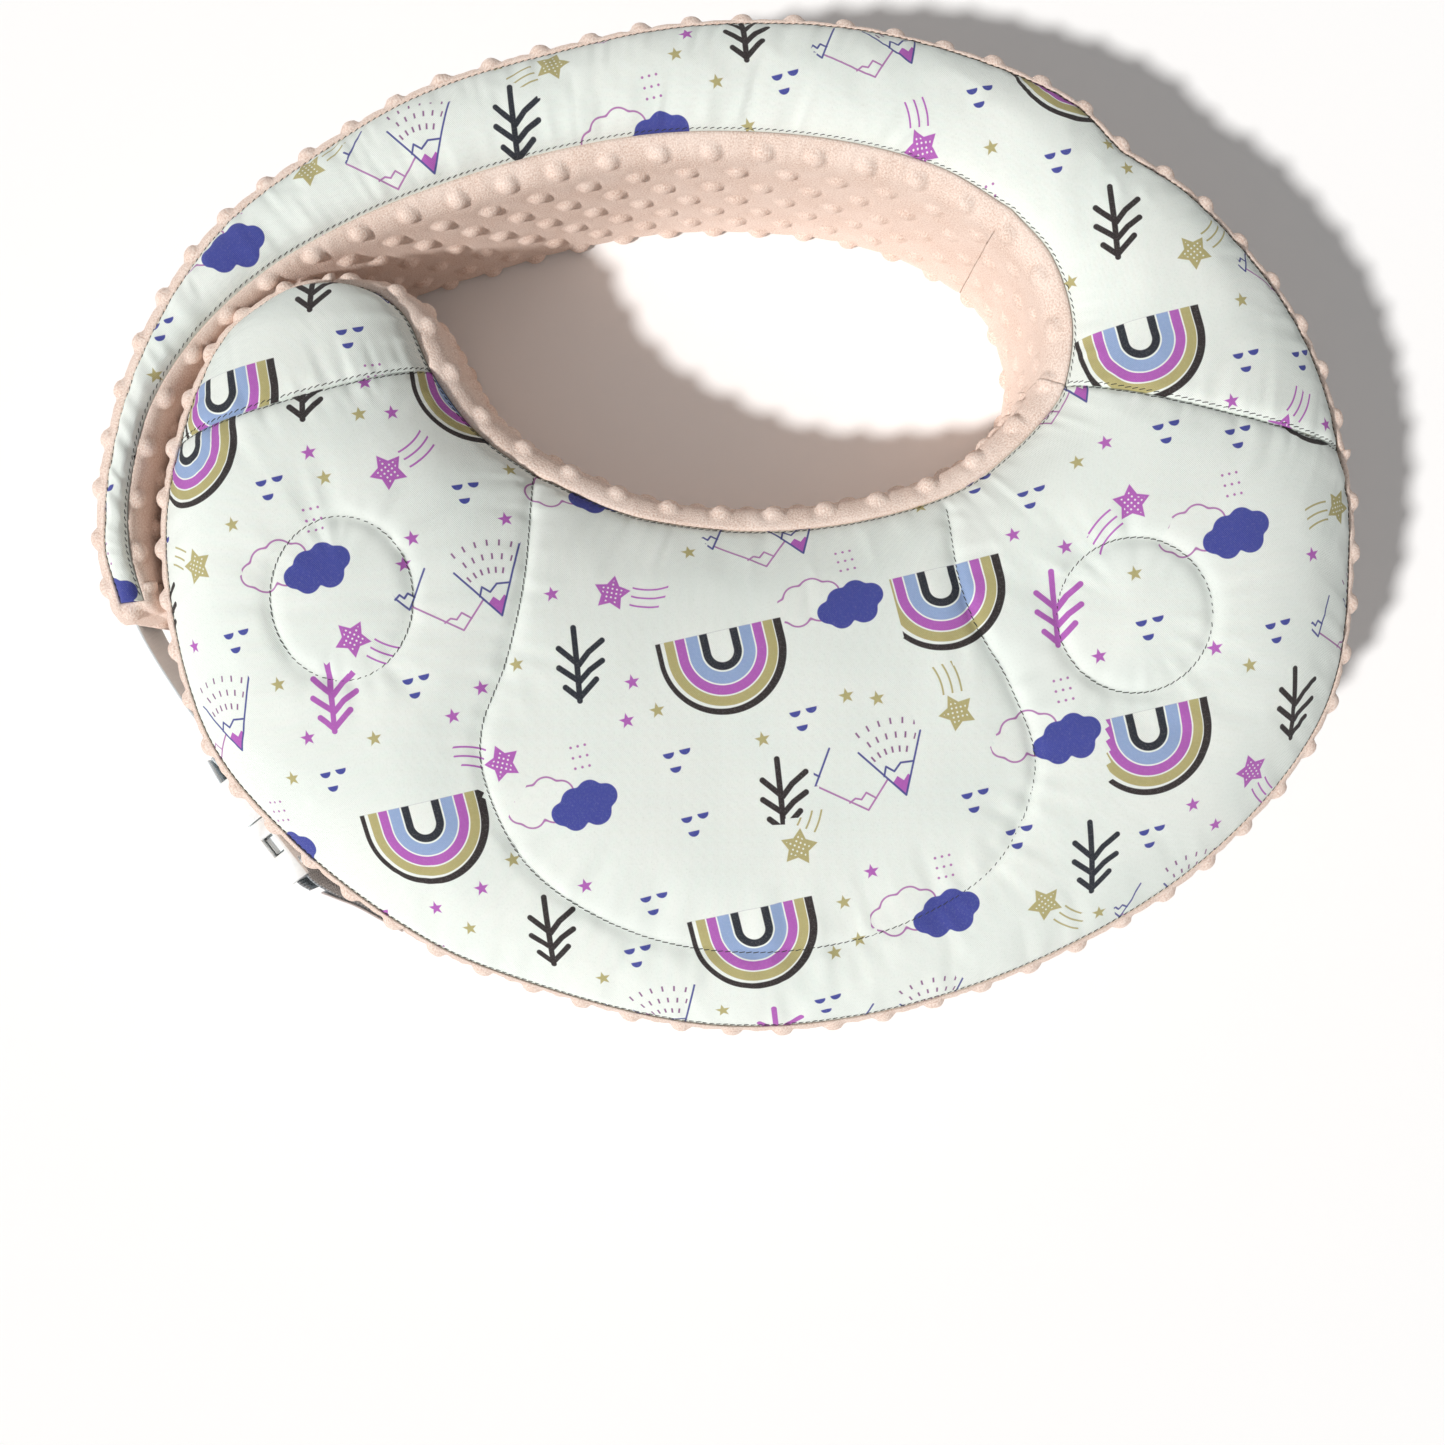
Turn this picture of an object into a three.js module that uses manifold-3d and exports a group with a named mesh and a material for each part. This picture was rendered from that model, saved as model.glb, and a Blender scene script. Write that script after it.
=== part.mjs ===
// Wrap-around nursing pillow: a deep C-shaped foam cushion with a narrow back band that closes round
// the wearer. Printed cotton top panels, dimpled plush sides and base, a zip underneath, and an
// elastic strap with a side-release buckle that ties the free end of the band to the cushion.
import * as THREE from "three";
import { mergeVertices } from "three/addons/utils/BufferGeometryUtils.js";
import Module from "manifold-3d";

const wasm = await Module();
wasm.setup();

// Driving dimensions, mm. +X is to the right, +Y is towards the back band, +Z is up from the base.
const SEAM_HEIGHT = 115; // where the top panels are sewn to the boxed sides
const CLOTH = 2; // a cover panel with its pile or quilting
const GAP = 0.35; // left between pieces that touch
const WADDING = 4; // batting layer quilted under the main top panel
const ROLL_TOP = 12; // height of the rounded upper edge of the boxed side
const ROLL_FOOT = 4; // height of the rounded lower edge
const HEM_HEIGHT = 0.3; // the side strip's lower edge stays this far above the base plane
const FOLD_SLIT = 1.2; // opening between cushion and band at the fold
const SEAM_SLIT = 0.4; // opening between two panels sewn edge to edge
const CROWN_POWER = 2.6; // how square the padded crown is across a panel
const CROWN_ROUND = 0.75; // how quickly it rises from the seam
const STEPS = 2; // lofted sections per station
const CENTRE = [3.15, -1.47]; // moves the outlines so that the bounding box is centred on the origin

// Stations across the C, from the fold at the band root round the front to the tip of the free arm:
// hole-side seam x, y, outer seam x, y, crown above the seam, and swell of the hole-side and outer
// side strips beyond their seams.
const CUSHION = [
  [134, 152, 187, 179, 8, 12, 7],
  [153, 130, 223, 154.5, 11, 12, 8],
  [163, 98, 270, 96, 16, 12, 8],
  [159.5, 68, 290, 36.4, 23, 12, 8],
  [155, 59, 294.6, -10, 28, 12, 8],
  [134, 36, 283, -87, 30, 12, 8],
  [109, 18, 223, -160.5, 27, 12, 8],
  [64, 3.6, 111, -220, 24.5, 12, 8],
  [13, -1.7, -1, -237.6, 24, 12, 8],
  [-34, 2.6, -113, -211, 24, 12, 8],
  [-55, 8, -155, -190.5, 24.5, 12, 8],
  [-76, 17, -209, -149, 26, 12, 8],
  [-98, 28, -249.5, -99, 29, 12, 8],
  [-123, 47, -269, -14.5, 30, 12, 5.5],
  [-143, 74.5, -263, 39, 25, 12, 5.5],
  [-155, 100, -242, 89, 18, 11, 5.5],
  [-166, 110, -226, 104, 12, 9, 5.5],
  [-176, 114.2, -211, 112.8, 7, 7, 5.5],
  [-183, 115.8, -198, 115.6, 3, 6, 5.5],
];
const RIGHT_SEAM = 3; // stations of the double seams that divide the top panels
const SIDE_SEAM = 10; // station of the upright seam in the outer side strip
const LEFT_SEAM = 14;

// The band, from the same fold to its free end.
const BAND = [
  [134, 152, 187, 179, 8, 12, 7],
  [100, 172, 159.5, 204.5, 8.5, 12, 8],
  [45, 186, 70, 236, 9, 12, 8],
  [-25, 189, -15, 239.5, 9, 12, 8],
  [-79.5, 181, -86, 226, 9, 12, 8],
  [-135, 165, -151, 205, 8.5, 11, 8],
  [-182, 146, -204, 173, 8, 8, 8],
  [-225, 120.5, -240, 145, 7, 5.5, 8],
  [-257, 90, -268, 107, 6, 5.5, 8],
  [-278, 55.5, -286, 68, 5, 5.5, 8],
  [-287, 17, -296, 28, 4.5, 5.5, 8],
  [-287.6, 0, -298, 7, 4.5, 5.5, 8],
  [-286, -14.5, -298, -12, 4, 5.5, 8],
  [-280, -34.5, -291, -36, 4, 5.5, 8],
];

// Zip under the front of the cushion, closing along X, set up into a groove in the foam.
const ZIP_Y = -120;
const ZIP_HALF = 130; // half its working length
const ZIP_SLOT = [292, 11]; // length and width of the slot in the base panel
const ZIP_GROOVE = [300, 40, 12]; // groove in the foam: length, width, top
const TAPE_WIDTH = 15;
const TAPE_Z = [6.4, 7.2];
const COIL_Z = [4.6, 6.05];
const COIL_WIDTH = 2.4;
const CHAIN_SLIT = 1.8; // between the two coils, where the slider's post runs
const SLIDER_X = -118; // the slider at rest, at the closed end
const PULL_PIN_Z = 2.1;

// Side-release buckle. Its frame lies at the middle of the buckle, x along the strap towards the
// socket half, y towards the cushion, z up the width of the webbing.
const BUCKLE_AT = [-235, -147, 57];
const BUCKLE_ANGLE = Math.atan2(-0.787, 0.617);
const BUCKLE_WIDTH = 43;
const BUCKLE_THICK = 10;
const WEBBING_WIDTH = 32;
const WEBBING_THICK = 1.4;
const SOCKET_X = [-5, 31];
const PLUG_X = [-31, -5.6];
const CAVITY_WIDTH = 36;
const CAVITY_THICK = 6.2;
const BAR_X = 27.6; // middle of either half's webbing bar, from the middle of the buckle
const BAR_HALF = 1.7;
const PRONG_LENGTH = 21;
const PRONG_PIVOT = [-4, 14]; // x and height of a prong's root

const printed = { color: 0xf0f6f0, roughness: 0.85, metalness: 0 };
const plush = { color: 0xeed4c4, roughness: 0.95, metalness: 0 };
const foam = { color: 0xf2e8c8, roughness: 1, metalness: 0 };
const batting = { color: 0xfafafa, roughness: 1, metalness: 0 };
const elastic = { color: 0xdee8ec, roughness: 0.8, metalness: 0 };
const webbed = { color: 0xaab4b9, roughness: 0.75, metalness: 0 };
const moulded = { color: 0xf0f6f8, roughness: 0.35, metalness: 0 };
const taped = { color: 0xd9c4b8, roughness: 0.8, metalness: 0 };
const metal = { color: 0xb8bcc0, roughness: 0.35, metalness: 0.9 };

const part = new THREE.Group();
part.position.set(CENTRE[0], CENTRE[1], 0);
const buckle = new THREE.Group();
buckle.position.set(...BUCKLE_AT);
buckle.rotation.z = BUCKLE_ANGLE;
part.add(buckle);

function place(parent, name, geometry, finish) {
  const mesh = new THREE.Mesh(geometry, new THREE.MeshStandardMaterial(finish));
  mesh.name = name;
  parent.add(mesh);
}

// ---- Solids and booleans

function positionOnly(geometry) {
  const bare = geometry.clone();
  bare.deleteAttribute("normal");
  bare.deleteAttribute("uv");
  return mergeVertices(bare, 1e-4);
}

function toSolid(geometry) {
  const bare = positionOnly(geometry);
  return new wasm.Manifold(
    new wasm.Mesh({
      numProp: 3,
      vertProperties: bare.attributes.position.array,
      triVerts: new Uint32Array(bare.index.array),
    }),
  );
}

function fromSolid(solid) {
  const { vertProperties, triVerts } = solid.getMesh();
  const geometry = new THREE.BufferGeometry();
  geometry.setAttribute("position", new THREE.BufferAttribute(new Float32Array(vertProperties), 3));
  geometry.setIndex(new THREE.BufferAttribute(new Uint32Array(triVerts), 1));
  geometry.computeVertexNormals();
  return geometry;
}

const cut = (geometry, ...tools) =>
  fromSolid(tools.reduce((body, tool) => body.subtract(toSolid(tool)), toSolid(geometry)));

const join = (...geometries) => fromSolid(geometries.map(toSolid).reduce((a, b) => a.add(b)));

function block([x0, x1], [y0, y1], [z0, z1]) {
  const box = new THREE.BoxGeometry(x1 - x0, y1 - y0, z1 - z0);
  return box.translate((x0 + x1) / 2, (y0 + y1) / 2, (z0 + z1) / 2);
}

const about = (middle, width) => [middle - width / 2, middle + width / 2];

// ---- Lofts

// Joins equal closed loops of [across, z], each laid out from its own origin along its own level
// direction, into one solid with flat ends.
function loft(sections) {
  const count = sections[0].loop.length;
  const points = sections.flatMap(({ at, along, loop }) =>
    loop.map(([u, z]) => new THREE.Vector3(at[0] + along[0] * u, at[1] + along[1] * u, z)),
  );
  const faces = [];
  for (let i = 0; i + 1 < sections.length; i++) {
    for (let j = 0; j < count; j++) {
      const a = i * count + j;
      const b = i * count + ((j + 1) % count);
      const [c, d] = [b + count, a + count];
      // The shorter diagonal, so that sheets that lie on each other are folded alike.
      if (points[a].distanceTo(points[c]) < points[b].distanceTo(points[d])) {
        faces.push([a, b, c], [a, c, d]);
      } else {
        faces.push([a, b, d], [b, c, d]);
      }
    }
  }
  for (const [i, turn] of [[0, -1], [sections.length - 1, 1]]) {
    const outline = sections[i].loop.map(([u, z]) => new THREE.Vector2(u, z));
    const forward = THREE.ShapeUtils.isClockWise(outline) ? -1 : 1;
    for (const face of THREE.ShapeUtils.triangulateShape(outline, [])) {
      const corners = face.map((k) => i * count + k);
      const area = signedArea(face.map((k) => outline[k]));
      faces.push(Math.sign(area) * forward * turn > 0 ? corners : corners.reverse());
    }
  }
  return facingOut(points, faces);
}

const signedArea = ([a, b, c]) => (b.x - a.x) * (c.y - a.y) - (c.x - a.x) * (b.y - a.y);

function facingOut(points, faces) {
  const volume = faces.reduce(
    (sum, [a, b, c]) => sum + points[a].dot(new THREE.Vector3().crossVectors(points[b], points[c])),
    0,
  );
  if (volume < 0) faces.forEach((face) => face.reverse());
  const geometry = new THREE.BufferGeometry().setFromPoints(points);
  geometry.setIndex(faces.flat());
  geometry.computeVertexNormals();
  return geometry;
}

const mix = (a, b, f) => a.map((value, i) => value * (1 - f) + b[i] * f);

// Sections of a ribbon at every station and between them, as rows like the stations themselves.
function ribbon(stations) {
  const last = stations.length - 1;
  const [hole, outer] = [0, 2].map(
    (column) =>
      new THREE.CatmullRomCurve3(
        stations.map((row) => new THREE.Vector3(row[column], row[column + 1], 0)),
        false,
        "centripetal",
      ),
  );
  const rows = [];
  for (let k = 0; k <= last * STEPS; k++) {
    const i = Math.min(Math.floor(k / STEPS), last - 1);
    const swell = mix(stations[i], stations[i + 1], k / STEPS - i).slice(4);
    const a = hole.getPoint(k / STEPS / last);
    const b = outer.getPoint(k / STEPS / last);
    rows.push([a.x, a.y, b.x, b.y, ...swell]);
  }
  rows[0] = pulled(rows[0], rows[1], FOLD_SLIT / 2);
  return rows;
}

// The row a distance away from one row towards the next.
function pulled(row, next, distance) {
  return mix(row, next, distance / Math.hypot(next[2] - row[2], next[3] - row[3]));
}

// Part of a ribbon between two stations, short of them by half a seam's opening where asked.
function stretch(rows, from, to, trimFrom, trimTo) {
  const taken = rows.slice(from * STEPS, to * STEPS + 1);
  const end = taken.length - 1;
  const first = trimFrom ? pulled(taken[0], taken[1], SEAM_SLIT / 2) : taken[0];
  const final = trimTo ? pulled(taken[end], taken[end - 1], SEAM_SLIT / 2) : taken[end];
  return [first, ...taken.slice(1, end), final];
}

// ---- Cross-sections

const ACROSS = [0, 0.05, 0.16, 0.36, 0.64, 0.84, 0.95, 1];

const crownAt = (row, s) =>
  SEAM_HEIGHT + row[4] * (1 - Math.abs(2 * s - 1) ** CROWN_POWER) ** CROWN_ROUND;

function frameOf([hx, hy, ox, oy]) {
  const width = Math.hypot(ox - hx, oy - hy);
  return { at: [hx, hy], along: [(ox - hx) / width, (oy - hy) / width], width };
}

// The crown line of a panel, lowered by a depth, from hole side to outer side.
const crownLine = (row, width, depth, shares = ACROSS) =>
  shares.map((s) => [GAP + (width - 2 * GAP) * s, crownAt(row, s) - depth]);

// Profile of a side strip from foot to seam, moved in from its outer surface by a depth.
function sideLine(swell, depth) {
  const reach = swell - GAP - depth;
  const foot = [90, 45, 0].map((degrees) => THREE.MathUtils.degToRad(degrees));
  const top = [0, 30, 60, 90].map((degrees) => THREE.MathUtils.degToRad(degrees));
  return [
    ...foot.map((a) => [
      GAP + reach * Math.cos(a),
      HEM_HEIGHT + ROLL_FOOT - (ROLL_FOOT - depth) * Math.sin(a),
    ]),
    ...top.map((a) => [
      GAP + reach * Math.cos(a),
      SEAM_HEIGHT - 1 - ROLL_TOP + (ROLL_TOP - depth) * Math.sin(a),
    ]),
  ];
}

// A sheet that follows the crown, from one depth under it to another.
const crownSheet = (rows, upper, lower, shares) =>
  loft(
    rows.map((row) => {
      const { at, along, width } = frameOf(row);
      const top = crownLine(row, width, upper, shares);
      return { at, along, loop: [...top, ...crownLine(row, width, lower, shares).reverse()] };
    }),
  );

const basePanel = (rows) =>
  loft(
    rows.map((row) => {
      const { at, along, width } = frameOf(row);
      const [near, far] = [GAP, width - GAP];
      return { at, along, loop: [[near, 0], [far, 0], [far, CLOTH], [near, CLOTH]] };
    }),
  );

// Foam that fills the cover, with its crown lowered where wadding lies on it.
const foamBody = (rows, waddedFrom, waddedTo) =>
  loft(
    rows.map((row, i) => {
      const { at, along, width } = frameOf(row);
      const wadded = i >= waddedFrom * STEPS && i <= waddedTo * STEPS;
      const depth = CLOTH + GAP + (wadded ? WADDING + GAP : 0);
      const [, , , , , holeSwell, outerSwell] = row;
      const holeSide = sideLine(holeSwell, CLOTH + GAP).map(([n, z]) => [-n, z]);
      const outerSide = sideLine(outerSwell, CLOTH + GAP).map(([n, z]) => [width + n, z]);
      const loop = [...holeSide, ...crownLine(row, width, depth), ...outerSide.reverse()];
      return { at, along, loop };
    }),
  );

// ---- Side strips

// The seam line round a ribbon: out along the hole side, round the free end, back along the outer
// side. Each entry is x, y, outward direction x, y, and swell.
function seamPath(rows) {
  const side = (column, swell, sign) =>
    rows.map((row, i) => {
      const before = rows[Math.max(i - 1, 0)];
      const after = rows[Math.min(i + 1, rows.length - 1)];
      const run = [after[column] - before[column], after[column + 1] - before[column + 1]];
      const { along } = frameOf(row);
      const length = Math.hypot(...run);
      let normal = [-run[1] / length, run[0] / length];
      const lean = normal[0] * along[0] + normal[1] * along[1];
      if (lean * sign < 0) normal = normal.map((v) => -v);
      if (i === 0) normal = along.map((v) => (v * sign) / Math.abs(lean));
      return [row[column], row[column + 1], ...normal, row[swell]];
    });
  const hole = side(0, 5, -1);
  const outer = side(2, 6, 1);
  const [last, previous] = [rows[rows.length - 1], rows[rows.length - 2]];
  const { along } = frameOf(last);
  const turned = [-along[1], along[0]];
  const ahead = turned[0] * (last[0] - previous[0]) + turned[1] * (last[1] - previous[1]);
  const out = turned.map((v) => v * Math.sign(ahead));
  const holeTurn = cornerFan(hole[hole.length - 1], out);
  const outerTurn = cornerFan(outer[outer.length - 1], out).reverse();
  const middle = mix(holeTurn[1], outerTurn[0], 0.5);
  return [...hole, ...holeTurn, middle, ...outerTurn, ...outer.reverse()];
}

// Turns the outward direction at a corner in two steps from the side's own to the end's.
function cornerFan([x, y, nx, ny, swell], out) {
  return [0.5, 1].map((share) => {
    const turn = mix([nx, ny], out, share);
    const length = Math.hypot(...turn);
    return [x, y, turn[0] / length, turn[1] / length, swell];
  });
}

function sideStrip(path, trimStart, trimEnd) {
  const ends = [...path];
  const last = ends.length - 1;
  const shorten = (a, b) => mix(a, b, SEAM_SLIT / 2 / Math.hypot(b[0] - a[0], b[1] - a[1]));
  if (trimStart) ends[0] = shorten(path[0], path[1]);
  if (trimEnd) ends[last] = shorten(path[last], path[last - 1]);
  return loft(
    ends.map(([x, y, nx, ny, swell]) => ({
      at: [x, y],
      along: [nx, ny],
      loop: [...sideLine(swell, 0), ...sideLine(swell, CLOTH).reverse()],
    })),
  );
}

// ---- Straps

// A flat strap on edge along a level route, with its middle a little to the left of the route.
function strap(route, thickness, width, height, aside = 0, steps = 24) {
  const curve = new THREE.CatmullRomCurve3(
    route.map(([x, y]) => new THREE.Vector3(x, y, 0)),
    false,
    "centripetal",
  );
  const left = [];
  const right = [];
  for (let i = 0; i <= steps; i++) {
    const p = curve.getPoint(i / steps);
    const t = curve.getTangent(i / steps);
    for (const [side, reach] of [[left, aside + thickness / 2], [right, aside - thickness / 2]]) {
      side.push(new THREE.Vector2(p.x - t.y * reach, p.y + t.x * reach));
    }
  }
  const outline = new THREE.Shape([...left, ...right.reverse()]);
  const geometry = new THREE.ExtrudeGeometry(outline, { depth: width, bevelEnabled: false });
  return geometry.translate(0, 0, height - width / 2);
}

// ---- Cushion and band

const cushionRows = ribbon(CUSHION);
const bandRows = ribbon(BAND);
const cushionPath = seamPath(cushionRows);
const bandPath = seamPath(bandRows);
const lastStation = CUSHION.length - 1;

function makeCushion() {
  const [length, width, top] = ZIP_GROOVE;
  const groove = block(about(0, length), about(ZIP_Y, width), [-1, top]);
  const core = foamBody(cushionRows, RIGHT_SEAM + 1, LEFT_SEAM - 1);
  place(part, "foam_core", cut(core, groove), foam);

  const wadded = cushionRows.slice((RIGHT_SEAM + 1) * STEPS, (LEFT_SEAM - 1) * STEPS + 1);
  const wadding = crownSheet(wadded, CLOTH + GAP, CLOTH + GAP + WADDING, ACROSS.slice(1, -1));
  place(part, "wadding_main", wadding, batting);

  const panels = [
    ["cover_top_shoulder", 0, RIGHT_SEAM, false, true],
    ["cover_top_main", RIGHT_SEAM, LEFT_SEAM, true, true],
    ["cover_top_tip", LEFT_SEAM, lastStation, true, false],
  ];
  for (const [name, from, to, trimFrom, trimTo] of panels) {
    const rows = stretch(cushionRows, from, to, trimFrom, trimTo);
    place(part, name, crownSheet(rows, 0, CLOTH), printed);
  }

  const slot = block(about(0, ZIP_SLOT[0]), about(ZIP_Y, ZIP_SLOT[1]), [-1, CLOTH + 1]);
  place(part, "cover_base", cut(basePanel(cushionRows), slot), plush);

  const tip = cushionRows.length + 2; // middle of the tip, on the path
  const upright = cushionPath.length - 1 - SIDE_SEAM * STEPS;
  const strips = [
    ["cover_side_inner", 0, tip, false, true],
    ["cover_side_outer_left", tip, upright, true, true],
    ["cover_side_outer_right", upright, cushionPath.length - 1, true, false],
  ];
  for (const [name, from, to, trimStart, trimEnd] of strips) {
    place(part, name, sideStrip(cushionPath.slice(from, to + 1), trimStart, trimEnd), plush);
  }
}

function makeBand() {
  place(part, "band_foam", foamBody(bandRows, Infinity, Infinity), foam);
  place(part, "band_cover_top", crownSheet(bandRows, 0, CLOTH), printed);
  place(part, "band_base", basePanel(bandRows), plush);
  const split = bandRows.length - 2; // the outer strip wraps round the free end to here
  place(part, "band_side_inner", sideStrip(bandPath.slice(0, split + 1), false, true), plush);
  place(part, "band_side_outer", sideStrip(bandPath.slice(split), true, false), plush);
}

// ---- Zip

function makeZip() {
  const run = about(0, 2 * ZIP_HALF);
  const sides = [["front", -1], ["rear", 1]];
  for (const [name, side] of sides) {
    const tape = ZIP_Y + side * (CHAIN_SLIT / 2 + TAPE_WIDTH / 2);
    const coil = ZIP_Y + side * (CHAIN_SLIT / 2 + COIL_WIDTH / 2);
    place(part, `zip_tape_${name}`, block(run, about(tape, TAPE_WIDTH), TAPE_Z), taped);
    place(part, `zip_coil_${name}`, block(run, about(coil, COIL_WIDTH), COIL_Z), taped);
  }
  for (const [name, x] of [["left", -ZIP_HALF - 2.4], ["right", ZIP_HALF + 2.4]]) {
    place(part, `zip_stop_${name}`, block(about(x, 4), about(ZIP_Y, 7), [4.6, 7.2]), metal);
  }
  place(part, "zip_slider", zipSlider(), metal);
  place(part, "zip_pull", zipPull(), metal);
}

// Two plates either side of the tapes on one thin post, with two ears underneath for the pull.
function zipSlider() {
  const plate = about(SLIDER_X, 10);
  const [wide, ear] = [9, 0.9];
  const cheeks = [-1, 1].map((side) =>
    block(about(SLIDER_X, 3.6), about(ZIP_Y + side * 2.6, ear), [1.0, 3.4]),
  );
  return join(
    block(plate, about(ZIP_Y, wide), [TAPE_Z[1] + GAP, TAPE_Z[1] + GAP + 1.2]),
    block(plate, about(ZIP_Y, wide), [3, COIL_Z[0] - GAP]),
    block(about(SLIDER_X, 6), about(ZIP_Y, 1), [3.5, TAPE_Z[1] + 1]),
    ...cheeks,
  );
}

// A flat tab that turns on a round pin between the slider's ears.
function zipPull() {
  const pin = new THREE.CylinderGeometry(0.85, 0.85, 3.8, 12).translate(SLIDER_X, ZIP_Y, PULL_PIN_Z);
  const tab = block([SLIDER_X, SLIDER_X + 24], about(ZIP_Y, 3.8), about(PULL_PIN_Z, 1.1));
  return join(pin, tab);
}

// ---- Buckle and straps

function makeBuckle() {
  const [thick, wide] = [about(0, BUCKLE_THICK), about(0, BUCKLE_WIDTH)];
  const slotX = [BAR_X - BAR_HALF - 5, BAR_X - BAR_HALF];
  const eye = WEBBING_WIDTH + 2;
  const socket = cut(
    block(SOCKET_X, thick, wide),
    block([SOCKET_X[0] - 1, SOCKET_X[0] + 24], about(0, CAVITY_THICK), about(0, CAVITY_WIDTH)),
    block(slotX, about(0, BUCKLE_THICK + 2), about(0, eye)),
    block([BAR_X - BAR_HALF - 1, SOCKET_X[1] + 1], [-6, -BAR_HALF], about(0, eye)),
    block([BAR_X - BAR_HALF - 1, SOCKET_X[1] + 1], [BAR_HALF, 6], about(0, eye)),
    ...[-1, 1].map((side) =>
      block([4, 15], about(0, CAVITY_THICK), about((side * BUCKLE_WIDTH) / 2, 10)),
    ),
  );
  place(buckle, "buckle_female", socket, moulded);

  const mirror = slotX.map((x) => -x).reverse();
  const tail = [PLUG_X[0] - 1, -BAR_X + BAR_HALF + 1];
  const plug = cut(
    join(
      block(PLUG_X, thick, wide),
      block([PLUG_X[1] - 1, 12], about(0, 4), about(0, 9)),
    ),
    block(mirror, about(0, BUCKLE_THICK + 2), about(0, eye)),
    block(tail, [-6, -BAR_HALF], about(0, eye)),
    block(tail, [BAR_HALF, 6], about(0, eye)),
    ...[-1, 1].map((side) =>
      block([-11, PLUG_X[1] + 1], about(0, 5), about(side * PRONG_PIVOT[1], 7.6)),
    ),
  );
  place(buckle, "buckle_male", plug, moulded);
  place(buckle, "prong_upper", prong(1), moulded);
  place(buckle, "prong_lower", prong(-1), moulded);
}

// A springy arm with a wider pad at the window of the socket.
function prong(side) {
  const [x, z] = PRONG_PIVOT;
  const arm = block([x - 6, x + PRONG_LENGTH], about(0, 4), about(side * z, 3.4));
  const pad = block([5, 14], about(0, 4.6), about(side * (z + 0.95), 5.3));
  return join(arm, pad);
}

const atBuckle = (along, out) => {
  const [c, s] = [Math.cos(BUCKLE_ANGLE), Math.sin(BUCKLE_ANGLE)];
  return [BUCKLE_AT[0] + c * along + s * out, BUCKLE_AT[1] + s * along - c * out];
};

function makeStraps() {
  const height = BUCKLE_AT[2];
  const onWall = [[-164.5, -197], [-176, -190.8], [-187.8, -184.4], [-199, -180]];
  const wrap = [[34, -2.9], [25.2, -3.1], [24.1, 0], [25.2, 3.1], [32, 2.9], [38, 0.6]];
  const webbing = [...onWall, ...wrap.map(([along, out]) => atBuckle(along, out))];
  place(part, "webbing", strap(webbing, WEBBING_THICK, WEBBING_WIDTH, height, 0, 40), webbed);
  place(part, "label", strap([...onWall, atBuckle(42, -4.4)], 0.8, 36, height, 1.5, 12), printed);

  const loop = [[-45, -1.2], [-32, -2.9], [-25.2, -3.1], [-24.1, 0], [-25.2, 3.1], [-32, 2.9], [-45, 1]];
  const routed = loop.map(([along, out]) => [along, -out]);
  place(buckle, "elastic_loop", strap(routed, WEBBING_THICK, WEBBING_WIDTH, 0, 0, 36), elastic);
  const route = [[-306.8, 26], [-308, 6], [-307.6, -14], [-301, -40], [-279, -78], atBuckle(-36, -6.7)];
  place(part, "elastic_strap", strap(route, WEBBING_THICK, WEBBING_WIDTH, height), elastic);
}

makeCushion();
makeBand();
makeZip();
makeBuckle();
makeStraps();

export default part;
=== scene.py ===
"""Looks of the wrap-around nursing pillow: printed top, dotted plush sides, quilting, straps and buckle.

Shapes are worked out in millimetres in the part's frame and turned into metres when a mesh is made.
"""
import math

import bpy
import numpy as np
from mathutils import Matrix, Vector
from mathutils.bvhtree import BVHTree
from mathutils.kdtree import KDTree


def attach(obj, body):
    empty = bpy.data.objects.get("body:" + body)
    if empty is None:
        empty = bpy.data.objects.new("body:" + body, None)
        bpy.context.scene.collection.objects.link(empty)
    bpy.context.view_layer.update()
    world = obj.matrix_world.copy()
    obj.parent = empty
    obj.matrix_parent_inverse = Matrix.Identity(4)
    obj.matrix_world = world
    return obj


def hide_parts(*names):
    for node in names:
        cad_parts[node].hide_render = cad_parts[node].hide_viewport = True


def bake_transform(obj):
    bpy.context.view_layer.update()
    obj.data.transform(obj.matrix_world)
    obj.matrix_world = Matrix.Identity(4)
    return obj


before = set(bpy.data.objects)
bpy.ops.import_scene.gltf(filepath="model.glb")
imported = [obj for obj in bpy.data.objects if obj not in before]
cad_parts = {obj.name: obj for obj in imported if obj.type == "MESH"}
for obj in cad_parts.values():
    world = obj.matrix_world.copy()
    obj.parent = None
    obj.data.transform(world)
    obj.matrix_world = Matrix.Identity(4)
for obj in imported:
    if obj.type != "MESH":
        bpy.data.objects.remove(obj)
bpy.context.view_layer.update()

MM = 0.001

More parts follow.
